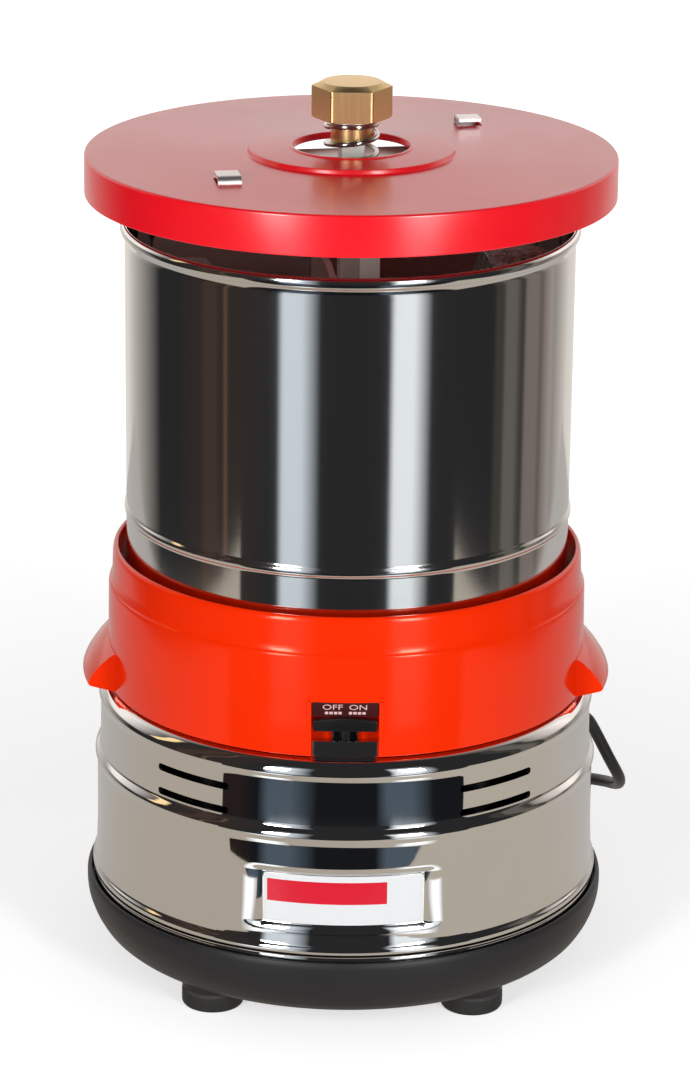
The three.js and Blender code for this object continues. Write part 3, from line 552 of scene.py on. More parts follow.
def moulding(name, base, worn, scale, rough, variation, depth, wear=0.4, dust=0.06, mottle=0.06,
             ior=1.5, tint=(1, 1, 1)):
    """Moulded plastic or rubber: grain, slightly uneven colour, paler worn edges, a trace of dust."""
    material, tree, shader = finish(name, base)
    grain = place_group(tree, GRAIN, Scale=scale, Roughness=rough, Variation=variation)
    edges = place_group(tree, WEAR, Amount=wear)
    powder = place_group(tree, DUST, Amount=dust)
    uneven = maths(tree, "MULTIPLY", grain.outputs["Blotch"], mottle)
    shade = blend_colour(tree, uneven, base, tuple(0.55 * v for v in base[:3]) + (1.0,))
    shade = blend_colour(tree, edges.outputs["Mask"], shade, worn)
    shade = blend_colour(tree, powder.outputs["Mask"], shade, colour(196, 190, 182))
    tree.links.new(shade, shader.inputs["Base Color"])
    tree.links.new(grain.outputs["Roughness"], shader.inputs["Roughness"])
    shader.inputs["IOR"].default_value = ior
    shader.inputs["Specular Tint"].default_value = (*tint, 1)
    relief(tree, shader, grain.outputs["Height"], depth)
    return material


def metal(name, base, stain, scale, rough, variation, depth, wear=0.3, lines=None, anisotropy=0.0):
    """Bare metal: fine lines or grain, a faint stain in the haze, brighter rubbed edges."""
    material, tree, shader = finish(name, base, 1.0)
    if lines:
        marks = place_group(tree, lines, Lines=scale, Roughness=rough, Variation=variation)
        haze = marks.outputs["Haze"]
    else:
        marks = place_group(tree, GRAIN, Scale=scale, Roughness=rough, Variation=variation)
        haze = marks.outputs["Blotch"]
    edges = place_group(tree, WEAR, Amount=wear)
    shade = blend_colour(tree, maths(tree, "MULTIPLY", haze, 0.5), base, stain)
    bright = tuple(min(1.0, 1.25 * v) for v in base[:3]) + (1.0,)
    tree.links.new(blend_colour(tree, edges.outputs["Mask"], shade, bright), shader.inputs["Base Color"])
    tree.links.new(marks.outputs["Roughness"], shader.inputs["Roughness"])
    if anisotropy:
        shader.inputs["Anisotropic"].default_value = anisotropy
        shader.inputs["Anisotropic Rotation"].default_value = 0.25
        tangent = tree.nodes.new("ShaderNodeTangent")
        tangent.direction_type, tangent.axis = "RADIAL", "Z"
        tree.links.new(tangent.outputs[0], shader.inputs["Tangent"])
    relief(tree, shader, marks.outputs["Height"], depth)
    return material


# %% [markdown]
# The finishes of the machine. Colours were judged from the photograph where the light falls
# straight on a surface: the lid a cool red, the housing an orange red, the base nearly black.

# %% The finishes
DRUM_STEEL = metal("brushed_stainless", (0.74, 0.72, 0.70, 1), (0.66, 0.64, 0.61, 1), 2600, 0.09, 0.02,
                   0.000003, wear=0.1, lines=TURNED, anisotropy=0.4)
SHELL_STEEL = metal("mirror_stainless", (0.76, 0.74, 0.72, 1), (0.70, 0.68, 0.66, 1), 1300, 0.03, 0.015,
                    0.0000008, wear=0.1, lines=DRAWN)
PRESSED = metal("pressed_steel", (0.86, 0.80, 0.78, 1), (0.66, 0.64, 0.61, 1), 1500, 0.40, 0.06,
                0.000006)
GROUND = metal("ground_shaft_steel", (0.60, 0.60, 0.60, 1), (0.45, 0.45, 0.44, 1), 5200, 0.24, 0.06,
               0.000006, lines=TURNED)
ZINC = metal("zinc_plated_steel", (0.66, 0.67, 0.66, 1), (0.55, 0.55, 0.45, 1), 700, 0.30, 0.08,
             0.00001)
SPRING_STEEL = metal("spring_steel", (0.66, 0.65, 0.63, 1), (0.42, 0.38, 0.33, 1), 1800, 0.14, 0.05,
                     0.000004)
BRASS = metal("brushed_brass", (0.86, 0.62, 0.30, 1), (0.68, 0.46, 0.20, 1), 1700, 0.36, 0.05,
              0.00001, wear=0.5, lines=DRAWN)
BRONZE = metal("oil_bronze", (0.46, 0.27, 0.10, 1), (0.26, 0.14, 0.05, 1), 2400, 0.38, 0.1, 0.00001,
               lines=TURNED)
COPPER = moulding("enamelled_copper", colour(166, 74, 24), colour(206, 120, 60), 2600, 0.3, 0.1,
                  0.00006, mottle=0.3)
LAMINATED = metal("laminated_iron", (0.30, 0.30, 0.31, 1), (0.16, 0.12, 0.10, 1), 7000, 0.45, 0.1,
                  0.00008, lines=TURNED)
LID_RED = moulding("lid_red", colour(254, 1, 26), colour(255, 60, 66), 1500, 0.24, 0.04, 0.000006,
                   wear=0.2, dust=0.0, mottle=0.03, ior=1.9)
HOUSING_ORANGE = moulding("housing_orange", colour(255, 47, 2), colour(255, 90, 36), 500, 0.13, 0.03,
                          0.000008, wear=0.2, dust=0.0, mottle=0.03, ior=1.6, tint=(1, 0.5, 0.35))
BASE_BLACK = moulding("base_black", colour(34, 33, 36), colour(70, 70, 72), 1300, 0.46, 0.08,
                      0.00003, wear=0.3, dust=0.02, ior=1.42)
PAD_RUBBER = moulding("pad_rubber", colour(30, 30, 31), colour(64, 62, 60), 2100, 0.62, 0.1,
                      0.00005, wear=0.5, dust=0.25)
BELT_RUBBER = moulding("belt_rubber", colour(26, 26, 27), colour(60, 60, 60), 1800, 0.7, 0.1,
                       0.00006, wear=0.5)
CORD_BLACK = moulding("cord_jacket", colour(24, 24, 26), colour(70, 70, 72), 2400, 0.36, 0.08,
                      0.00002, wear=0.2, dust=0.1)
SWITCH_BLACK = moulding("switch_black", colour(20, 20, 22), colour(80, 80, 82), 1700, 0.25, 0.06,
                        0.00001, wear=0.5)
PART_BLACK = moulding("nylon_black", colour(34, 34, 36), colour(80, 80, 80), 1400, 0.45, 0.08,
                      0.00003)
FOOD_WHITE = moulding("food_white", colour(232, 230, 222), colour(246, 246, 242), 1100, 0.38, 0.08,
                      0.00002, wear=0.3, dust=0.0, mottle=0.1)
CASE_GREY = moulding("capacitor_case", colour(188, 190, 192), colour(226, 226, 226), 1600, 0.4, 0.08,
                     0.00001)
print(len(bpy.data.materials), "finishes")


# %% [markdown]
# Granite is a mix of pale feldspar, glassy grey quartz and black mica grains a few millimetres
# across. Two Voronoi patterns of different size pick the colour of each grain, and a finer noise
# breaks their edges. Ground stone is dull where grains have broken out and slicker on the flats.

# %% Granite
def granite():
    """Cells 3 mm and 1.4 mm across choose pale, grey or black grains; noise gives the ground face."""
    material, tree, shader = finish("speckled_granite", colour(150, 148, 145))
    place = object_place(tree)
    ragged = tree.nodes.new("ShaderNodeVectorMath")
    ragged.operation = "MULTIPLY_ADD"
    ragged.inputs[1].default_value = (0.0012, 0.0012, 0.0012)
    wobble = tree.nodes.new("ShaderNodeTexNoise")
    wobble.inputs["Scale"].default_value = 900.0
    tree.links.new(place, wobble.inputs["Vector"])
    tree.links.new(wobble.outputs["Color"], ragged.inputs[0])
    tree.links.new(place, ragged.inputs[2])
    shade = None
    for scale, stops in ((330.0, ((0.0, 60), (0.22, 108), (0.5, 156), (0.78, 190))),
                         (760.0, ((0.0, 34), (0.2, 120), (0.6, 166), (0.85, 206)))):
        cells = tree.nodes.new("ShaderNodeTexVoronoi")
        cells.inputs["Scale"].default_value = scale
        tree.links.new(ragged.outputs[0], cells.inputs["Vector"])
        one = tree.nodes.new("ShaderNodeSeparateColor")
        tree.links.new(cells.outputs["Color"], one.inputs[0])
        ramp = tree.nodes.new("ShaderNodeValToRGB")
        ramp.color_ramp.interpolation = "CONSTANT"
        for i, (at, level) in enumerate(stops):
            stop = ramp.color_ramp.elements[i] if i < 2 else ramp.color_ramp.elements.new(at)
            stop.position, stop.color = at, colour(level, level - 1, level - 4)
        tree.links.new(one.outputs[0], ramp.inputs[0])
        if shade is None:
            shade = ramp.outputs[0]
        else:
            shade = blend_colour(tree, 0.5, shade, ramp.outputs[0])
    tree.links.new(shade, shader.inputs["Base Color"])
    grain = place_group(tree, GRAIN, Scale=1600.0, Roughness=0.5, Variation=0.14)
    tree.links.new(grain.outputs["Roughness"], shader.inputs["Roughness"])
    relief(tree, shader, grain.outputs["Height"], 0.00004)
    return material


GRANITE = granite()


# %% [markdown]
# A polished cylinder shows the room more than itself, so the room matters. The photograph was
# taken on a warm grey table in a dark room, with a tall soft lamp on either side of the camera and
# pale walls behind the machine. One big dark bag with soft glowing patches stands for that room, a
# sheet with two strips of glare for the table, and only reflections see them. The camera sees a
# white floor, two lamps light the machine, and the sky gives even, weak light.

# %% Floor, room and lamps
def band(tree, value, low, high, soft_low, soft_high):
    """1 from low to high, falling in a straight line to 0 over a soft margin on either side."""
    up = maths(tree, "DIVIDE", maths(tree, "SUBTRACT", value, low - soft_low), soft_low, clamp=True)
    down = maths(tree, "DIVIDE", maths(tree, "SUBTRACT", high + soft_high, value), soft_high, clamp=True)
    return maths(tree, "MULTIPLY", up, down)


def card(name, part, base, patches):
    """A sheet that only mirrors see: a base glow plus patches, each soft in angle and in height."""
    material = bpy.data.materials.new(name)
    material.use_nodes = True
    tree = material.node_tree
    tree.nodes.remove(tree.nodes["Principled BSDF"])
    glow = tree.nodes.new("ShaderNodeEmission")
    glow.inputs["Color"].default_value = (*base, 1)
    tree.links.new(glow.outputs[0], tree.nodes["Material Output"].inputs[0])
    split = tree.nodes.new("ShaderNodeSeparateXYZ")
    tree.links.new(object_place(tree), split.inputs[0])
    around = maths(tree, "ARCTAN2", split.outputs[0], maths(tree, "MULTIPLY", split.outputs[1], -1.0))
    total = None
    for light, angles, heights in patches:
        mask = maths(tree, "MULTIPLY", band(tree, around, *np.radians(angles)),
                     band(tree, split.outputs[2], *(MM * np.array(heights))))
        more = tree.nodes.new("ShaderNodeVectorMath")
        more.operation = "MULTIPLY_ADD"
        tree.links.new(mask, more.inputs[0])
        more.inputs[1].default_value = light
        more.inputs[2].default_value = base
        if total:
            tree.links.new(total, more.inputs[2])
        total = more.outputs[0]
        tree.links.new(total, glow.inputs["Color"])
    piece = make(name, [part], material, body=None)
    for ray in ("visible_camera", "visible_diffuse", "visible_transmission", "visible_shadow"):
        setattr(piece, ray, False)
    return piece


FULL = (-1300, 2100, 50, 50)
LAMP, LAMP_FOOT = (-395, 1150, 40, 300), (-1300, -440, 50, 45)
BACK, UP_BACK = (-1300, 330, 50, 120), (450, 980, 120, 900)
room = spin([[0, -1400], [1700, -1400], [1700, 900], [1150, 1650], [0, 2000]], 96)
card("card_room", room, (0.011, 0.012, 0.015), [
    ((0.015, 0.015, 0.014), (-200, 200, 5, 5), (-395, 2100, 40, 50)),
    ((0.74, 0.83, 0.92), (-32.5, -23, 3, 9), LAMP),
    ((1.00, 1.08, 1.14), (22.5, 32, 3, 9), LAMP),
    ((0.08, 0.11, 0.145), (-34, -24, 5, 12), LAMP_FOOT),
    ((0.08, 0.11, 0.145), (19, 30, 5, 10), LAMP_FOOT),
    ((0.012, 0.004, 0.000), (-85, -48, 10, 8), FULL),
    ((0.11, 0.055, 0.03), (-64, -63, 1, 1), FULL),
    ((1.30, 0.95, 0.50), (-97, -93, 2, 2), (620, 1300, 60, 100)),
    ((0.03, 0.012, 0.006), (-77, -69, 2, 2), FULL),
    ((0.035, 0.03, 0.022), (78, 96, 2, 3), FULL),
    ((0.09, 0.085, 0.08), (84, 91, 1.5, 4), FULL),
    ((0.20, 0.17, 0.15), (99, 109, 2, 4), FULL),
    ((0.16, 0.13, 0.11), (114, 122, 4, 4), FULL),
    ((0.80, 0.75, 0.70), (-200, -152, 10, 42), BACK),
    ((0.78, 0.73, 0.68), (146, 200, 34, 10), BACK),
    ((1.15, 1.09, 1.05), (-200, -122, 10, 26), UP_BACK),
    ((1.15, 1.09, 1.05), (122, 200, 26, 10), UP_BACK),
])
table_top = slab([
    [-620, -470], [-304, -256], [-224, -234], [-184, -255], [152, -294], [190, -290], [264, -245],
    [309, -270], [620, -460], [620, 700], [-620, 700],
], [[0, -FEET - 1.5], [0, -FEET - 0.5]])
card("card_table", table_top, (0.52, 0.47, 0.405), [
    ((0.04, 0.04, 0.04), (20, 110, 20, 30), FULL),
    ((0.0, 0.03, 0.075), (-200, -125, 10, 40), FULL),
    ((0.0, 0.03, 0.075), (125, 200, 40, 10), FULL),
])

for glare_side, start, end in (("left", -37, -20), ("right", 18, 35)):
    glare = [[far_out * np.sin(a), -far_out * np.cos(a)] for far_out, order in ((215, 1), (300, -1))
             for a in np.radians(np.linspace(start, end, 7)[::order])]
    card("card_glare_" + glare_side, slab(glare[::-1], [[0, -FEET - 0.45], [0, -FEET - 0.35]]),
         (0.52, 0.50, 0.46), [((0.85, 0.92, 1.0), (start + 5, end - 5, 5, 5), FULL)])

# The camera sees the floor glow more with distance, from 0.25 m to 1.15 m, until it is plain white.
FLOOR_GLOW, WHITE_FROM, WHITE_OVER, SKY_LIGHT = 0.60, 0.25, 0.9, 0.22
floor_material = bpy.data.materials.new("white_floor")
floor_material.use_nodes = True
floor_tree = floor_material.node_tree
floor_shader = floor_tree.nodes["Principled BSDF"]
floor_shader.inputs["Base Color"].default_value = (0.86, 0.86, 0.86, 1)
floor_shader.inputs["Roughness"].default_value = 0.9
floor_shader.inputs["Specular IOR Level"].default_value = 0.0
floor_shader.inputs["Emission Color"].default_value = (1, 1, 1, 1)
rays = floor_tree.nodes.new("ShaderNodeLightPath")
far = floor_tree.nodes.new("ShaderNodeVectorMath")
far.operation = "LENGTH"
floor_tree.links.new(object_place(floor_tree), far.inputs[0])
distance = maths(floor_tree, "DIVIDE", maths(floor_tree, "SUBTRACT", far.outputs["Value"], WHITE_FROM),
                 WHITE_OVER, clamp=True)
lift = maths(floor_tree, "MULTIPLY_ADD", distance, 1 - FLOOR_GLOW, FLOOR_GLOW)
floor_tree.links.new(maths(floor_tree, "MULTIPLY", rays.outputs["Is Camera Ray"], lift),
                     floor_shader.inputs["Emission Strength"])
floor = make("floor", [slab([[-20000, -20000], [20000, -20000], [20000, 20000], [-20000, 20000]],
                            [[0, -FEET - 20], [0, -FEET]])], floor_material, body=None)
floor.visible_glossy = False

world = bpy.data.worlds.new("studio") if bpy.context.scene.world is None else bpy.context.scene.world
bpy.context.scene.world = world
world.use_nodes = True
sky = world.node_tree
seen = sky.nodes.new("ShaderNodeLightPath").outputs["Is Camera Ray"]
sky.links.new(maths(sky, "MULTIPLY_ADD", seen, 1 - SKY_LIGHT, SKY_LIGHT),
              sky.nodes["Background"].inputs["Strength"])
sky.nodes["Background"].inputs["Color"].default_value = (1, 1, 1, 1)


def lamp(name, place, aim, width, height, watts):
    """A soft rectangular lamp at a place, pointing at another, in metres; mirrors see it too."""
    data = bpy.data.lights.new(name, "AREA")
    data.shape, data.size, data.size_y, data.energy = "RECTANGLE", width, height, watts
    light = bpy.data.objects.new(name, data)
    light.location = place
    light.rotation_euler = (Vector(aim) - Vector(place)).to_track_quat("-Z", "Y").to_euler()
    light.visible_camera = False
    bpy.context.scene.collection.objects.link(light)
    return light


lamp("lamp_left", (-0.82, -1.42, 0.58), (0, 0, 0.2), 0.30, 0.9, 12)
lamp("lamp_right", (0.82, -1.42, 0.58), (0, 0, 0.2), 0.30, 0.9, 12)


# %% [markdown]
# The mains cord is a 6 mm round lead about 1.4 m long. It leaves the back right of the shell
# through a sleeve, bends down at once as the photograph shows, swings round behind the machine
# and lies in a flat two-layer coil, held by a tie, with the plug beside it. It is drawn as one
# line through the same points as the CAD solid, and a curve with a round bevel dresses it.

# %% Mains cord
CORD_R = 3.0
SHELL_WALL = 117.2
EXIT_TURN, EXIT_HEIGHT, EXIT_BEND = 36, 71, 16
SLEEVE_REACH = 20.0
COIL = dict(x=20.0, y=183.0, inside=25.0, pitch=7.5, loops=5.25, z=-FEET + CORD_R + 1.15)


def coil_line(steps=40):
    """Radius 25 + 7.5 max(|a - 5.25 pi| - pi/2, 0) / 2 pi for angle a; it climbs one layer midway."""
    angle = np.arange(round(COIL["loops"] * steps) + 1) * 2 * np.pi / steps
    middle = COIL["loops"] * np.pi
    away = np.maximum(np.abs(angle - middle) - np.pi / 2, 0)
    r = COIL["inside"] + COIL["pitch"] * away / (2 * np.pi)
    s = np.clip((angle - middle) / np.pi + 0.5, 0, 1)
    climb = s * s * (3 - 2 * s)
    line = np.stack([COIL["x"] + r * np.cos(angle), COIL["y"] + r * np.sin(angle),
                     COIL["z"] + COIL["pitch"] * climb], -1)
    return np.vstack([line[:1] - (0, 2 * CORD_R, 0), line, line[-1:] - (2 * CORD_R, 0, 0)])


def smooth_line(points, steps=8):
    """A centripetal Catmull-Rom line: each stretch blends its four nearest points by chord ** 0.5."""
    p = np.asarray(points, float)
    p = np.vstack([2 * p[:1] - p[1:2], p, 2 * p[-1:] - p[-2:-1]])
    t = np.concatenate([[0], np.cumsum(np.linalg.norm(np.diff(p, axis=0), axis=1) ** 0.5)])
    p0, p1, p2, p3 = (p[i:len(p) - 3 + i, None] for i in range(4))
    t0, t1, t2, t3 = (t[i:len(t) - 3 + i, None, None] for i in range(4))
    s = t1 + (t2 - t1) * np.linspace(0, 1, steps, endpoint=False)[None, :, None]
    a1 = (t1 - s) / (t1 - t0) * p0 + (s - t0) / (t1 - t0) * p1
    a2 = (t2 - s) / (t2 - t1) * p1 + (s - t1) / (t2 - t1) * p2
    a3 = (t3 - s) / (t3 - t2) * p2 + (s - t2) / (t3 - t2) * p3
    b1 = (t2 - s) / (t2 - t0) * a1 + (s - t0) / (t2 - t0) * a2
    b2 = (t3 - s) / (t3 - t1) * a2 + (s - t1) / (t3 - t1) * a3
    line = (t2 - s) / (t2 - t1) * b1 + (s - t1) / (t2 - t1) * b2
    return np.vstack([line.reshape(-1, 3), p[-2:-1]])


# Where and in which direction the cord leaves the shell, then its bend down and its way round.
exit_way = np.array([np.cos(np.radians(EXIT_TURN)), np.sin(np.radians(EXIT_TURN)), 0.0])
SLEEVE_TIP = SHELL_WALL + SLEEVE_REACH
coil_points = coil_line()
bend = np.radians([0, 12, 24, 36, 48, 60])[:, None]
start_bend = exit_way * (SLEEVE_TIP + 0.3) + (0, 0, EXIT_HEIGHT) + EXIT_BEND * (
    np.sin(bend) * exit_way - (1 - np.cos(bend)) * np.array([0, 0, 1]))
free_points = [
    *start_bend, (124.8, 90.2, 58.4), (127.2, 91, 53.6), (129.6, 91.5, 48.8), (132.1, 91.9, 43.8),
    (134.6, 93, 38.9), (136.8, 95.6, 34), (138.1, 99.8, 29.3), (138.2, 106, 25), (136.3, 114, 21.6),
    (131.8, 122.6, 19.3), (124, 130.6, 17.2), (112.5, 137, 13.8), (100.3, 140.8, 9.2),
    (88.5, 142.3, 3.8), (78.4, 144.2, -1.2), (70.3, 149.3, -5.8), (64.9, 157.4, -9),
    coil_points[0] - (0, 10, 0), coil_points[0],
]
PLUG = np.array([-46.0, 224.0, -FEET + 9.2])
coil_end = coil_points[-1]
to_plug = PLUG[1] - coil_end[1]
plug_end = [coil_end, (COIL["x"] - 18, coil_end[1], coil_end[2]),
            (COIL["x"] - 32, coil_end[1] + to_plug * 0.4, coil_end[2]),
            (COIL["x"] - 48, coil_end[1] + to_plug * 0.9, (coil_end[2] + 2 * PLUG[2]) / 3),
            PLUG + (6, 0, 0), PLUG + (0.3, 0, 0)]
cord_line = np.vstack([smooth_line(free_points)[:-1], coil_points[:-1], smooth_line(plug_end)])

cord_curve = bpy.data.curves.new("mains_cord", "CURVE")
cord_curve.dimensions = "3D"
cord_curve.bevel_depth = CORD_R * MM
cord_curve.bevel_resolution = 5
cord_curve.use_fill_caps = True
thread = cord_curve.splines.new("POLY")
thread.points.add(len(cord_line) - 1)
thread.points.foreach_set("co", np.hstack([metres(cord_line), np.ones((len(cord_line), 1))]).ravel())
thread.use_smooth = True
mains_cord = bpy.data.objects.new("mains_cord", cord_curve)
bpy.context.scene.collection.objects.link(mains_cord)
cord_curve.materials.append(CORD_BLACK)
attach(mains_cord, "root")
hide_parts("cord_free", "cord_coil", "cord_plug_end")


# %% [markdown]
# The sleeve at the shell and the plug are soft rubber mouldings; the sleeve tapers so that the
# cord doesn't kink where it comes out. Both are lathe profiles laid on their side; the plug is
# wider than it is high. The tie is a flat nylon strap round the coil.

# %% Sleeve, plug and tie
def laid_along(part, degrees, start):
    """A part spun about Z laid down: its Z runs outwards at an angle in the floor plane from start."""
    x, y, z = np.asarray(part[0], float).T
    a = np.radians(degrees)
    points = np.stack([z * np.cos(a) - y * np.sin(a), z * np.sin(a) + y * np.cos(a), -x], -1)
    return points + start, part[1]


W = SHELL_WALL
smooth_sleeve = soften([
    [0, W - 7], [9, W - 7], [9, W - 2.6], [6.9, W - 2.6], [6.9, W + 0.1], [9, W + 0.1],
    [9, W + 2.8], [6, W + 3.8], [3.75, SLEEVE_TIP], [0, SLEEVE_TIP],
], 0.7, 4, closed=False)
flange = smooth_sleeve[smooth_sleeve[:, 1] <= W + 4.4]
along_taper = np.linspace(W + 4.5, SLEEVE_TIP - 1, 60)
rings = 0.3 * np.abs(np.sin((along_taper - W) * np.pi / 2.4)) - 0.15
taper = np.stack([np.interp(along_taper, [W + 3.8, SLEEVE_TIP], [6, 3.75]) + rings, along_taper], -1)
sleeve = np.vstack([flange, taper, [[3.6, SLEEVE_TIP], [0, SLEEVE_TIP]]])
make("cord_sleeve", [laid_along(spin(sleeve, 64), EXIT_TURN, (0, 0, EXIT_HEIGHT))], PAD_RUBBER,
     replaces=["cord_gland"])

plug_profile = soften([[0, 0], [4.2, 0], [4.8, 12], [9, 20], [9, 38], [8, 40], [0, 40]], 2.0, 6,
                      closed=False)
plug_round, plug_faces = spin(plug_profile, 64)
plug_points = plug_round[:, [2, 0, 1]] * (-1, 1.35, 1) + PLUG
past_plug = PLUG[0] - plug_points[:, 0]
beside = plug_points[:, 1] - PLUG[1]
grips = 0.45 * np.abs(np.sin(past_plug * 2 * np.pi / 3.0)) * np.sign(beside)
plug_points[:, 1] -= np.where((np.abs(beside) > 9) & (past_plug > 21) & (past_plug < 36), grips, 0)
plug = make("plug_moulding", [(plug_points, plug_faces)], PAD_RUBBER, replaces=["plug_body"])

strap_in, strap_out = COIL["inside"] - 3.7, COIL["inside"] + COIL["pitch"] * 2.375 + 5
strap_low, strap_high = COIL["z"] - CORD_R - 0.3, COIL["z"] + COIL["pitch"] + CORD_R + 0.3
strap_inside = soften([[strap_in, strap_low], [strap_out, strap_low], [strap_out, strap_high],
                       [strap_in, strap_high]], 4.0, 8)
strap_middle = strap_inside.mean(0)
strap_grow = np.array([1 + 1.6 / (strap_out - strap_in), 1 + 1.6 / (strap_high - strap_low)])
strap_outside = strap_middle + (strap_inside - strap_middle) * strap_grow
strap_points = np.stack([
    np.stack([loop[:, 0], np.full(len(loop), edge), loop[:, 1]], -1)
    for loop, edge in ((strap_outside, -2.5), (strap_outside, 2.5), (strap_inside, 2.5), (strap_inside, -2.5))
], 1)
strap_loop = (strap_points.reshape(-1, 3), grid_faces(len(strap_inside), 4).tolist())
tie = make("cord_strap", [moved(turned(strap_loop, 60), COIL["x"], COIL["y"])], PART_BLACK,
           replaces=["cord_tie"])


# %% [markdown]
# The drum is a deep-drawn stainless bowl. Its rim is rolled over so that it isn't sharp, a bead
# near the foot stiffens it where the floor is welded in, and a tube in the middle keeps the
# chocolate off the shaft. It is one closed lathe profile: up the outside, then down the inside.

# %% Drum
drum_outside = soften([
    [102.5, 178], [102.5, 203.4], [102.5, 204.6], [103.4, 206.2], [103.4, 207.8], [102.5, 209.4],
    [102.5, 210.6], [102.5, 330], [102.5, 335], [104.4, 337.0], [104.8, 339.6], [103.3, 341.6],
    [101.7, 340.9], [101.5, 338.5],
], [0.4, 1.2, 1.2, 0.9, 0.9, 1.2, 1.2, 4, 2.5, 1.4, 1.4, 1.2, 1.0, 1.0], 6, closed=False)
drum_inside = soften([
    [101.5, 338.0], [101.5, 209], [11, 209], [11, 300], [9, 300], [9, 207], [101.5, 207], [101.5, 178],
], [0.5, 2.0, 2.0, 0.8, 0.8, 1.6, 1.2, 0.3], 6, closed=False)
drum_profile = np.vstack([drum_outside, drum_inside])
make("drum_bowl", [spin(drum_profile, 240)], DRUM_STEEL, "drum", ["drum"])

floor_profile = soften([
    [13, 209.3], [100.6, 209.3], [100.6, 242.7], [98.6, 244.7], [13, 244.7],
], [0.8, 1.0, 0.8, 0.8, 1.2], 5)
make("floor_stone", [spin(floor_profile, 200)], GRANITE, "drum", ["base_stone"])


# %% [markdown]
# The lid is one red moulding: a flat plate with a skirt, a raised ring with a lip round the
# middle hole, and two windows for the steel tabs of the strap below. The windows are cut after
# spinning, and the normals of the flat top are put back so that it stays calm in reflections.

# %% Lid
HOLDER_TURN = 10
lid_profile = soften([
    [118.1, 354.8], [120.5, 354.8], [120.4, 372.6], [119.7, 373.3], [47, 373.3],
    [46.4, 375.4], [28.6, 375.8], [28, 376.4], [26.5, 376.4], [26.5, 373.2], [44, 373.2],
    [44.4, 370.6], [117, 370.6],
], [0.5, 0.5, 0.5, 0.5, 0.4, 0.5, 0.3, 0.3, 0.4, 0.4, 0.8, 0.8, 2.0], 6)


def with_holder(part, half_turn=0):
    """Turned with the roller holder, ten degrees from square, and half a turn more for its twin."""
    return turned(part, HOLDER_TURN + 180 * half_turn)


lid = make("lid_moulding", [spin(lid_profile, 240)], LID_RED, "lid", ["lid"])
window = slab(rounded_rectangle(57.85, 69.15, 43.35, 55.65, 0.8), [[0, 360], [0, 380]])
punch(lid, [with_holder(window), with_holder(window, 1)])
true_normals(lid, spun_normals(lid_profile))


# %% [markdown]
# The polished shell round the motor has three rolled beads, four vent slots and a pressed hollow
# that holds the label. The outer wall is a function of the angle and the height: the bead profile,
# and inside the hollow a floor 1.2 mm lower with slopes that run out softly into the wall.

# %% Steel shell
shell_edge = soften([
    [118.9, 22.7], [119.1, 28.2], [118.6, 29.5], [119.6, 31.2], [119.4, 33.2], [118.1, 34.8], [117.6, 40],
    [117, 54], [116.9, 82.6], [117.2, 84.4], [118.0, 86.2], [117.7, 87.9], [116.4, 89.6], [115.4, 90.8],
    [115, 112.4], [115.3, 114.0], [116.1, 115.6], [115.9, 117.4], [115.2, 119.0], [112.8, 121.8],
    [108.7, 123.0], [108.5, 130],
], [0.5, 0.8, 0.8, 0.9, 0.9, 1.2, 4, 8, 1.0, 1.0, 1.0, 1.0, 1.0, 1.2, 1.2, 1.0, 1.0, 0.9, 1.2, 1.4, 1.0, 0.5],
    6, closed=False)
shell_back = soften([
    [107.4, 130], [107.4, 121.8], [113.6, 114], [113.8, 90], [114.9, 80], [114.9, 38], [117.6, 22.7],
], [0.4, 1.5, 1.5, 2, 2, 2, 0.3], 4, closed=False)
HOLLOW = dict(z=56.3, half_width=37.2, half_height=12.3, floor=115.8, side=10.0, edge=3.5)


def shell_radius(angle, z):
    """Bead profile at height z, less (r - floor) (1 - s)^2, where s is 0 on the floor, 1 at the rim."""
    r = np.interp(z, shell_edge[:, 1], shell_edge[:, 0])
    across = np.maximum(np.abs(117.0 * angle) - HOLLOW["half_width"], 0) / HOLLOW["side"]
    up = np.maximum(np.abs(z - HOLLOW["z"]) - HOLLOW["half_height"], 0) / HOLLOW["edge"]
    s = np.minimum(np.hypot(across, up), 1)
    return r - (r - HOLLOW["floor"]) * (1 - s) ** 2


def shell_points(angle, z):
    """Points of the outer wall for angles measured from the front, to the right."""
    r = shell_radius(angle, z)
    return np.stack([r * np.sin(angle), -r * np.cos(angle), z + 0 * r], -1)


front = np.radians(np.concatenate([np.arange(-26, 26, 0.3), np.arange(26, 334, 2.0)]))
rows_z = np.unique(np.concatenate([shell_edge[:, 1], np.arange(38, 76, 0.5)]).round(3))
outer = shell_points(front[:, None], rows_z[None, :])
inner_r, inner_z = shell_back.T
inner = np.stack([np.outer(np.sin(front), inner_r), -np.outer(np.cos(front), inner_r),
                  np.outer(np.ones(len(front)), inner_z)], -1)
both = np.concatenate([outer, inner], axis=1)
shell = make("polished_shell", [(both.reshape(-1, 3), grid_faces(*both.shape[:2]).tolist())], SHELL_STEEL,
             replaces=["steel_shell"])


slot_outline = rounded_rectangle(-20.3, 20.3, -1.7, 1.7, 1.6, 6)
slot_cutters = [turned(moved(slab(slot_outline, [[0, 90], [0, 130]], "front"), z=slot_z), slot_turn)
                for slot_turn in (-37, 37) for slot_z in (94, 105.5)]
cord_hole = laid_along(spin(soften([[0, 90], [7.2, 90], [7.2, 130], [0, 130]], 0.1, 2, closed=False), 48),
                       EXIT_TURN, (0, 0, EXIT_HEIGHT))
punch(shell, slot_cutters + [cord_hole])


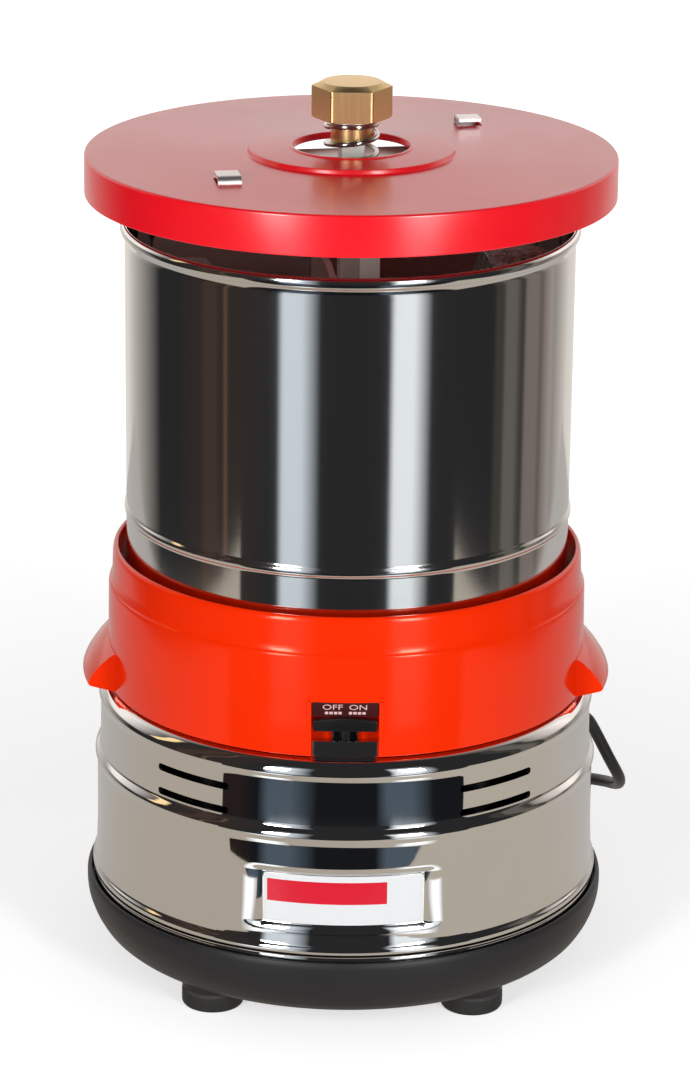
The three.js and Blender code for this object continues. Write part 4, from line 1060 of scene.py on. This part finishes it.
def shell_normal(place):
    """Normal of the outer wall from the slopes of its radius along the angle and the height."""
    angle = np.arctan2(place[:, 0], -place[:, 1])
    z = place[:, 2]
    r = shell_radius(angle, z)
    turn = (shell_radius(angle + 1e-3, z) - shell_radius(angle - 1e-3, z)) / 2e-3
    climb = (shell_radius(angle, z + 0.15) - shell_radius(angle, z - 0.15)) / 0.3
    out = np.stack([np.sin(angle), -np.cos(angle), 0 * angle], -1)
    side = np.stack([np.cos(angle), np.sin(angle), 0 * angle], -1)
    normal = out - side * (turn / r)[:, None] - np.array([0, 0, 1]) * climb[:, None]
    normal /= np.linalg.norm(normal, axis=1, keepdims=True)
    near = np.abs(np.hypot(place[:, 0], place[:, 1]) - r) < 0.05
    return normal, near & (z > 23.2) & (z < 129.5)


true_normals(shell, shell_normal)


# %% [markdown]
# The orange housing is a thick moulded ring that carries the drum's well. On each side a sloping
# hood, hollow underneath, takes the fingers. A hood is the lathe profile cut off flat at both
# ends: for each y it lies at x = sqrt(r r - y y), and a smaller one inside it makes the hollow.

# %% Housing and its two handles
housing_profile = soften([
    [109.2, 123.6], [111.7, 123.6], [111.25, 146], [110.9, 170.6], [109.9, 171.8], [109.3, 174.4],
    [108.8, 186.6], [107.7, 188.5], [106.2, 188.1], [105.7, 168], [24, 168], [24, 165], [108.6, 165],
], [0.6, 0.6, 6, 1.2, 1.2, 1.6, 1.6, 1.0, 0.9, 2.0, 0.8, 0.8, 1.5], 6)


def hood(profile, half):
    """The profile's points at every y from -half to half, at x = sqrt(r r - y y), with flat ends."""
    y = np.linspace(-half, half, 49)
    r, z = np.asarray(profile, float).T
    x = np.sqrt(np.maximum(r[None, :] ** 2 - y[:, None] ** 2, 0))
    points = np.stack([x, np.broadcast_to(y[:, None], x.shape), np.broadcast_to(z[None, :], x.shape)], -1)
    index = np.arange(x.size).reshape(x.shape)
    faces = grid_faces(*x.shape, False, True).tolist() + [index[0].tolist(), index[-1, ::-1].tolist()]
    return points.reshape(-1, 3), faces


hood_profile = soften([
    [109.6, 122.9], [110.3, 123.2], [122.6, 126.3], [123.5, 127.4], [122.6, 129.8], [119.2, 135.0],
    [114.2, 140.2], [110.6, 142.5], [109.6, 142.8],
], [0.2, 0.5, 0.8, 0.8, 1.2, 3, 3, 1.2, 0.2], 5)
hollow_profile = soften([[112.3, 118], [121.3, 118], [121.3, 128.6], [117.8, 133.6], [112.3, 139]],
                        [0.2, 0.2, 1.5, 1.5, 1.0], 5)
housing = make("orange_housing", [spin(housing_profile, 240)], HOUSING_ORANGE, replaces=["upper_housing"])
NOTCH = dict(half=15.1, top=149.5, back=101.0)
notch_hole = slab(rounded_rectangle(-NOTCH["half"], NOTCH["half"], 110, NOTCH["top"], 1.0),
                  [[0, 101], [0, 120]], "front")
punch(housing, [notch_hole])
true_normals(housing, spun_normals(housing_profile))

handles = make("handle_hoods", [hood(hood_profile, 32), turned(hood(hood_profile, 32), 180)],
               HOUSING_ORANGE)
punch(handles, [hood(hollow_profile, 30), turned(hood(hollow_profile, 30), 180)])


# %% [markdown]
# The switch sits in a notch at the front: two side walls, a back wall, a ceiling and a block that
# carries the printed plate. Below hangs a wide rocker with a stem that tips about a steel pin.

# %% Switch notch
notch_side, notch_top, notch_back = NOTCH["half"], NOTCH["top"], -NOTCH["back"]
wall_out = notch_side + 2
make("switch_recess", [
    box(-wall_out, wall_out, notch_back, notch_back + 2, 126.5, notch_top + 2, 0.3),
    box(-wall_out, wall_out, -110.6, notch_back + 2, notch_top - 0.05, notch_top + 2, 0.3),
    box(-wall_out, 0.05 - notch_side, -110.6, notch_back + 1, 126.5, notch_top + 1, 0.3),
    box(notch_side - 0.05, wall_out, -110.6, notch_back + 1, 126.5, notch_top + 1, 0.3),
    box(-wall_out, wall_out, -108.4, notch_back + 1, 142.2, notch_top + 1, 0.3),
], HOUSING_ORANGE)
CORNERS = [(x, y) for x in (-60, 60) for y in (-72, 72)]
legs = soften([[0, 121.3], [6, 121.3], [6, 166], [0, 166]], 0.5, 4, closed=False)
make("housing_legs", [moved(spin(legs, 32), x, y) for x, y in CORNERS], HOUSING_ORANGE)

plate = slab(rounded_rectangle(-14.8, 14.8, 142.4, 149.2, 0.5), edge_rise(108.7, 109.5, 0.2), "front")
MAROON = moulding("switch_plate_maroon", colour(64, 8, 12), colour(120, 30, 32), 1500, 0.32, 0.06,
                  0.00001, wear=0.3)
PRINT = moulding("plate_print", colour(226, 190, 186), colour(240, 220, 216), 1500, 0.4, 0.06,
                 0.00001, wear=0.0, dust=0.0)
make("switch_plate", [plate], MAROON, replaces=["switch_label"])


def word(text, x, z, height, stretch):
    """Plain raised lettering laid against the plate, 0.12 mm proud, as a mesh in drawing mm."""
    curve = bpy.data.curves.new(text, "FONT")
    curve.body, curve.size, curve.align_x, curve.extrude = text, height, "CENTER", 0.06
    helper = bpy.data.objects.new(text, curve)
    bpy.context.scene.collection.objects.link(helper)
    flat = bpy.data.meshes.new_from_object(helper.evaluated_get(bpy.context.evaluated_depsgraph_get()))
    place = np.zeros(len(flat.vertices) * 3)
    flat.vertices.foreach_get("co", place)
    place = place.reshape(-1, 3)
    points = np.stack([x + place[:, 0] * stretch, -109.56 - place[:, 2], z + place[:, 1]], -1)
    faces = [list(f.vertices) for f in flat.polygons]
    bpy.data.objects.remove(helper)
    return points, faces


bars = [box(word_x + step - 0.75, word_x + step + 0.75, -109.62, -109.4, 143.5, 144.7, 0.06)
        for word_x in (-5.3, 5.3) for step in (-3.0, -1.0, 1.0, 3.0)]
words = joined([word("OFF", -5.6, 145.7, 3.4, 1.55), word("ON", 5.8, 145.7, 3.4, 1.55)])
make("switch_print", [words, *bars], PRINT)

bar_outline = soften([
    [-14.3, 135.1], [14.3, 135.1], [14.3, 140], [0, 141.4], [-14.3, 140],
], [0.8, 0.8, 0.8, 3, 0.8], 5)
rocker_bar = slab(bar_outline, edge_rise(104.9, 109.4, 0.5), "front")
stem = box(-1.35, 2.0, -106.6, -104.95, 126.6, 135.6, 0.25)
make("rocker_switch", [rocker_bar, stem], SWITCH_BLACK, "switch", ["switch_rocker"])
switch_block = make("switch_block", [box(-5.8, 5.8, -104, -88, 125.6, 134.6, 0.4)], SWITCH_BLACK,
                    replaces=["switch_body"])
punch(switch_block, [box(left, left + 3, -105, -102.2, 127, 133.4, 0.3) for left in (-5, 2.2)])


# %% [markdown]
# The label in the hollow is a printed film. Its place on this part holds no name, only a plain red
# band on white. The film is a flat grid with rounded corners that is then wrapped round the
# machine's axis, as the real one bends with the steel: x becomes the angle x / r.

# %% Front label
def label_film():
    """White film with a plain red band over the upper part; clear gloss lacquer over both."""
    material, tree, shader = finish("label_film", colour(236, 238, 240))
    split = tree.nodes.new("ShaderNodeSeparateXYZ")
    tree.links.new(object_place(tree), split.inputs[0])
    x, _, z = split.outputs
    inside = [maths(tree, "MULTIPLY", maths(tree, "GREATER_THAN", place, low),
                    maths(tree, "LESS_THAN", place, high))
              for place, low, high in ((x, -0.0343, 0.0197), (z, 0.0688, 0.0795))]
    stripe = maths(tree, "MULTIPLY", *inside)
    grain = place_group(tree, GRAIN, Scale=1300.0, Roughness=0.3, Variation=0.05)
    paper = blend_colour(tree, maths(tree, "MULTIPLY", grain.outputs["Blotch"], 0.08),
                         colour(236, 238, 240), colour(212, 212, 210))
    tree.links.new(blend_colour(tree, stripe, paper, colour(224, 14, 46)), shader.inputs["Base Color"])
    tree.links.new(grain.outputs["Roughness"], shader.inputs["Roughness"])
    shader.inputs["Coat Weight"].default_value = 0.25
    shader.inputs["Coat Roughness"].default_value = 0.12
    relief(tree, shader, grain.outputs["Height"], 0.000006)
    return material


def film_part():
    """A grid of x and z whose corners are pulled onto arcs of 1.4 mm, wrapped on two radii, 116.1
    behind and 116.65 in front, with a rim that is 0.15 mm lower."""
    half_width, half_height, corner, middle_z = 36.5, 11.8, 1.4, HOLLOW["z"]
    across, up = np.meshgrid(np.linspace(-1, 1, 61), np.linspace(-1, 1, 21), indexing="ij")
    x, z = across * half_width, up * half_height
    over_x = np.maximum(np.abs(x) - half_width + corner, 0)
    over_z = np.maximum(np.abs(z) - half_height + corner, 0)
    far = np.maximum(np.hypot(over_x, over_z), 1e-9)
    pull = np.where(far > corner, corner / far, 1.0)
    x = np.sign(x) * (np.abs(x) - over_x * (1 - pull))
    z = np.sign(z) * (np.abs(z) - over_z * (1 - pull)) + middle_z
    rim = np.maximum(np.abs(across), np.abs(up)) > 0.999
    top_r, low_r = np.where(rim, 116.5, 116.65), np.full_like(x, 116.1)
    wrap = [np.stack([r * np.sin(x / 116.5), -r * np.cos(x / 116.5), z], -1) for r in (low_r, top_r)]
    size = x.size
    index = np.arange(size).reshape(x.shape)
    sheet = grid_faces(*x.shape, False, False)
    edge = np.concatenate([index[:, 0], index[-1, 1:], index[-2::-1, -1], index[0, -2:0:-1]])
    side = np.stack([edge, np.roll(edge, -1), np.roll(edge, -1) + size, edge + size], -1)
    faces = sheet[:, ::-1].tolist() + (sheet + size).tolist() + side.tolist()
    return np.vstack([w.reshape(-1, 3) for w in wrap]), faces


make("label_sheet", [film_part()], label_film(), replaces=["front_label"])


# %% [markdown]
# The black tray closes the machine below. It is moulded with four hollow pillars for the screws,
# bosses for the feet and five slots that let the motor breathe. Rubber pads screw into the bosses.

# %% Base tray and feet
tray_profile = soften([
    [0, 0], [111.4, 0], [115.9, 3.9], [119.4, 9.8], [121.6, 16], [122.2, 20.5], [122.2, 25.6], [121.2, 28],
    [119.9, 27.4], [119.9, 22.4], [116.4, 22.4], [116.4, 11], [112.4, 3], [0, 3],
], [1, 2, 2, 2.5, 2, 2, 1.6, 0.8, 0.6, 0.6, 0.8, 2, 2, 1], 6, closed=False)
tray = make("black_tray", [spin(tray_profile, 240)], BASE_BLACK, replaces=["base_tray"])
slot_cut = slab(rounded_rectangle(-22, 22, -2.5, 2.5, 2.0), [[0, -5], [0, 8]])
punch(tray, [moved(slot_cut, y=y) for y in (-6, 6, 18, 30, 42)])
boss_profile = soften([[0, -5], [14.0, -5], [14.4, -4.6], [14.4, 1], [0, 1]], 0.3, 4, closed=False)
pillar_profile = soften([[2, 2.5], [6.8, 2.5], [6, 8], [6, 117.7], [2, 117.7]], 0.6, 4)
make("tray_pillars", [moved(spin(p, 40), x, y) for x, y in CORNERS for p in (boss_profile, pillar_profile)],
     BASE_BLACK)
pad_profile = soften([
    [0, -14.2], [13.4, -14.2], [14.4, -12.8], [14.4, -6.4], [13.4, -5.3], [0, -5.3],
], [1, 0.7, 0.7, 0.6, 0.6, 1], 5, closed=False)
for corner, x, y in (("front_left", -60, -72), ("front_right", 60, -72),
                     ("rear_right", 60, 72), ("rear_left", -60, 72)):
    make("pad_" + corner, [moved(spin(pad_profile, 56), x, y)], PAD_RUBBER,
         replaces=["foot_pad_" + corner])


# %% [markdown]
# The nut is turned from 32 mm hexagon bar. Everything on it is one lathe profile clipped by the
# hexagon: the radius is the smaller of the lathe's and 16 / cos of the angle from the nearest
# flat. That clip draws by itself the curved edges that a chamfer leaves on a hexagon. In the
# machine the spring is pressed flatter against the washer as the rollers lift the holder; here the
# spring rides with the washer on the nut's carriage and gets a mesh of its own.

# %% Tension nut, washer and spring
HALF_FLATS = 16
nut_profile = soften([
    [0, 398.8], [6.5, 398.8], [6.5, 378], [9.5, 378], [9.5, 389.2], [17.4, 389.2], [18.6, 390],
    *[[18.6, z] for z in np.linspace(391, 403.2, 20)], [18.6, 403.4], [13.2, 405.5], [0, 405.5],
], 0.3, 5, closed=False)
nut_angle = np.linspace(0, 2 * np.pi, 360, endpoint=False)[:, None]
from_flat = (nut_angle + np.pi / 3) % (np.pi / 3) - np.pi / 6
hexagon = HALF_FLATS / np.cos(from_flat) - 0.22 * np.exp(-((np.abs(from_flat) - np.pi / 6) / 0.022) ** 2)
nut_r = np.minimum(nut_profile[None, :, 0], hexagon)
nut_points = np.stack([nut_r * np.cos(nut_angle), nut_r * np.sin(nut_angle),
                       np.broadcast_to(nut_profile[None, :, 1], nut_r.shape)], -1)
make("hexagon_nut", [close_poles(nut_points)], BRASS, "nut", ["tension_nut"], angle=24)

washer = soften([[10, 388.2], [13.6, 388.2], [13.6, 388.9], [10, 388.9]], 0.25, 4)
make("steel_washer", [spin(washer, 72)], PRESSED, "nut_carriage", ["thrust_washer"])

turns = np.linspace(0, 2.25, 217)
wire_angle = 2 * np.pi * turns - np.pi / 2
rise = np.clip((turns - 0.12) / 1.83, 0, 1)
wire = np.stack([11.5 * np.cos(wire_angle), 11.5 * np.sin(wire_angle), 371.85 + 14.85 * rise], -1)
spring = make("wire_spring", [tube(wire, 1.25, 16)], SPRING_STEEL, "nut_carriage", ["tension_spring"])
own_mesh(spring)


# %% [markdown]
# Under the lid a steel strap sits on the roller holder, and its two arms come up through the
# windows and fold over. The holder is white food-grade plastic; a stub axle on each side carries a
# granite roller, and a scraper blade keeps the paste moving. The rollers are turned about X.

# %% Strap, holder and rollers
AXLE_HEIGHT = 285


def bent_strap(line, half, thickness, centre):
    """A flat strip with its width along x, carried along a bent line (y, z) and thick square to it."""
    p = np.asarray(line, float)
    along = np.gradient(p, axis=0)
    along /= np.linalg.norm(along, axis=1, keepdims=True)
    side = np.stack([-along[:, 1], along[:, 0]], -1) * thickness
    ring = [np.concatenate([[np.full(len(p), x)], q.T]).T
            for x, q in ((centre - half, p), (centre + half, p), (centre + half, p + side),
                         (centre - half, p + side))]
    points = np.stack(ring, 1)
    index = np.arange(len(p) * 4).reshape(len(p), 4)
    faces = grid_faces(len(p), 4, False, True).tolist() + [index[0].tolist(), index[-1, ::-1].tolist()]
    return points.reshape(-1, 3), faces


tab_line = soften([[53.9, 368.3], [55.2, 368.35], [55.2, 375.1], [43.8, 375.1]], [0.4, 0.4, 1.9, 0.3], 9,
                  closed=False)
tab = bent_strap(tab_line, 5.2, -1.5, 63.5)
strap_plate = slab(rounded_rectangle(-75, 75, -20, 20, 4, 8), edge_rise(368.3, 370.3, 0.4))
arm = box(57, 74, 15, 56, 368.3, 370.3, 0.4)
make("lid_strap", [with_holder(strap_plate), with_holder(arm), with_holder(arm, 1),
                   with_holder(tab), with_holder(tab, 1)], PRESSED, "holder", ["lid_carrier"])

foot = soften([[12.5, 262], [24, 262], [26, 264], [26, 306], [24, 308], [17, 308], [12.5, 303]],
              [0.6, 1, 1, 1, 1, 1, 1], 5)
column = slab(rounded_rectangle(-18, 18, -20, 20, 2.0, 7), edge_rise(306, 368, 0.6))
holder = make("white_holder", [with_holder(spin(foot, 96)), with_holder(column)], FOOD_WHITE, "holder",
              ["roller_holder"])
punch(holder, [with_holder(box(-5.3, 5.3, -5.3, 5.3, 295, 380, 0.3)),
               with_holder(box(0, 9.6, -24, -13, 318, 360, 0.5)),
               with_holder(laid_along(spin(soften([[0, -30], [5.3, -30], [5.3, 30], [0, 30]], 0.1, 2,
                                                  closed=False), 40), 0, (0, 0, AXLE_HEIGHT))),
               with_holder(box(-1.8, 1.8, 19.6, 30, 271.7, 295.3, 0.2))])

stone_profile = soften([
    [8.3, 63.2], [37.5, 63.2], [40, 65.7], [40, 90.0], [37.5, 92.5], [8.3, 92.5],
], [0.6, 1.0, 1.0, 1.0, 1.0, 0.6], 6)
for hand, half_turn in (("right", 0), ("left", 1)):
    stone = with_holder(laid_along(spin(stone_profile, 120), 0, (0, 0, AXLE_HEIGHT)), half_turn)
    make(hand + "_stone", [stone], GRANITE, hand + "_roller", [hand + "_roller_stone"])


# %% [markdown]
# The pieces inside the machine keep their CAD shape: shafts, bearings, pulleys, belt and motor
# are plain turned or punched parts already. Each gets the finish of what it is made of.

# %% Finishes of the pieces that keep their CAD shape
for look, names in (
    (GROUND, ["centre_shaft", "motor_rotor", "left_roller_axle", "right_roller_axle", "rocker_pin",
              "lower_bearing", "upper_bearing"]),
    (ZINC, ["chassis_plate", "shaft_nut", "drum_dog_plate", "motor_case", "motor_end_cap",
            "chassis_screw_front_left", "chassis_screw_front_right", "chassis_screw_rear_left",
            "chassis_screw_rear_right", "motor_pulley"]),
    (BRONZE, ["motor_bush"]), (COPPER, ["stator_windings"]), (LAMINATED, ["stator_core"]),
    (BELT_RUBBER, ["drive_belt"]), (CASE_GREY, ["run_capacitor"]),
    (PART_BLACK, ["driven_pulley", "cooling_fan", "left_axle_spacer", "right_axle_spacer"]),
    (FOOD_WHITE, ["scraper", "left_roller_bush", "right_roller_bush"]),
    (BRASS, ["plug_blade_1", "plug_blade_2", "plug_earth_pin"]),
):
    for name in names:
        nodes[name].data.materials.clear()
        nodes[name].data.materials.append(look)
shown = [n for n in nodes.values() if not n.hide_render]
print(len(shown), "CAD nodes shown,", sum(n.hide_render for n in nodes.values()), "replaced")


# %% [markdown]
# Last, the view layer is brought up to date.

# %% Update the view layer
bpy.context.view_layer.update()
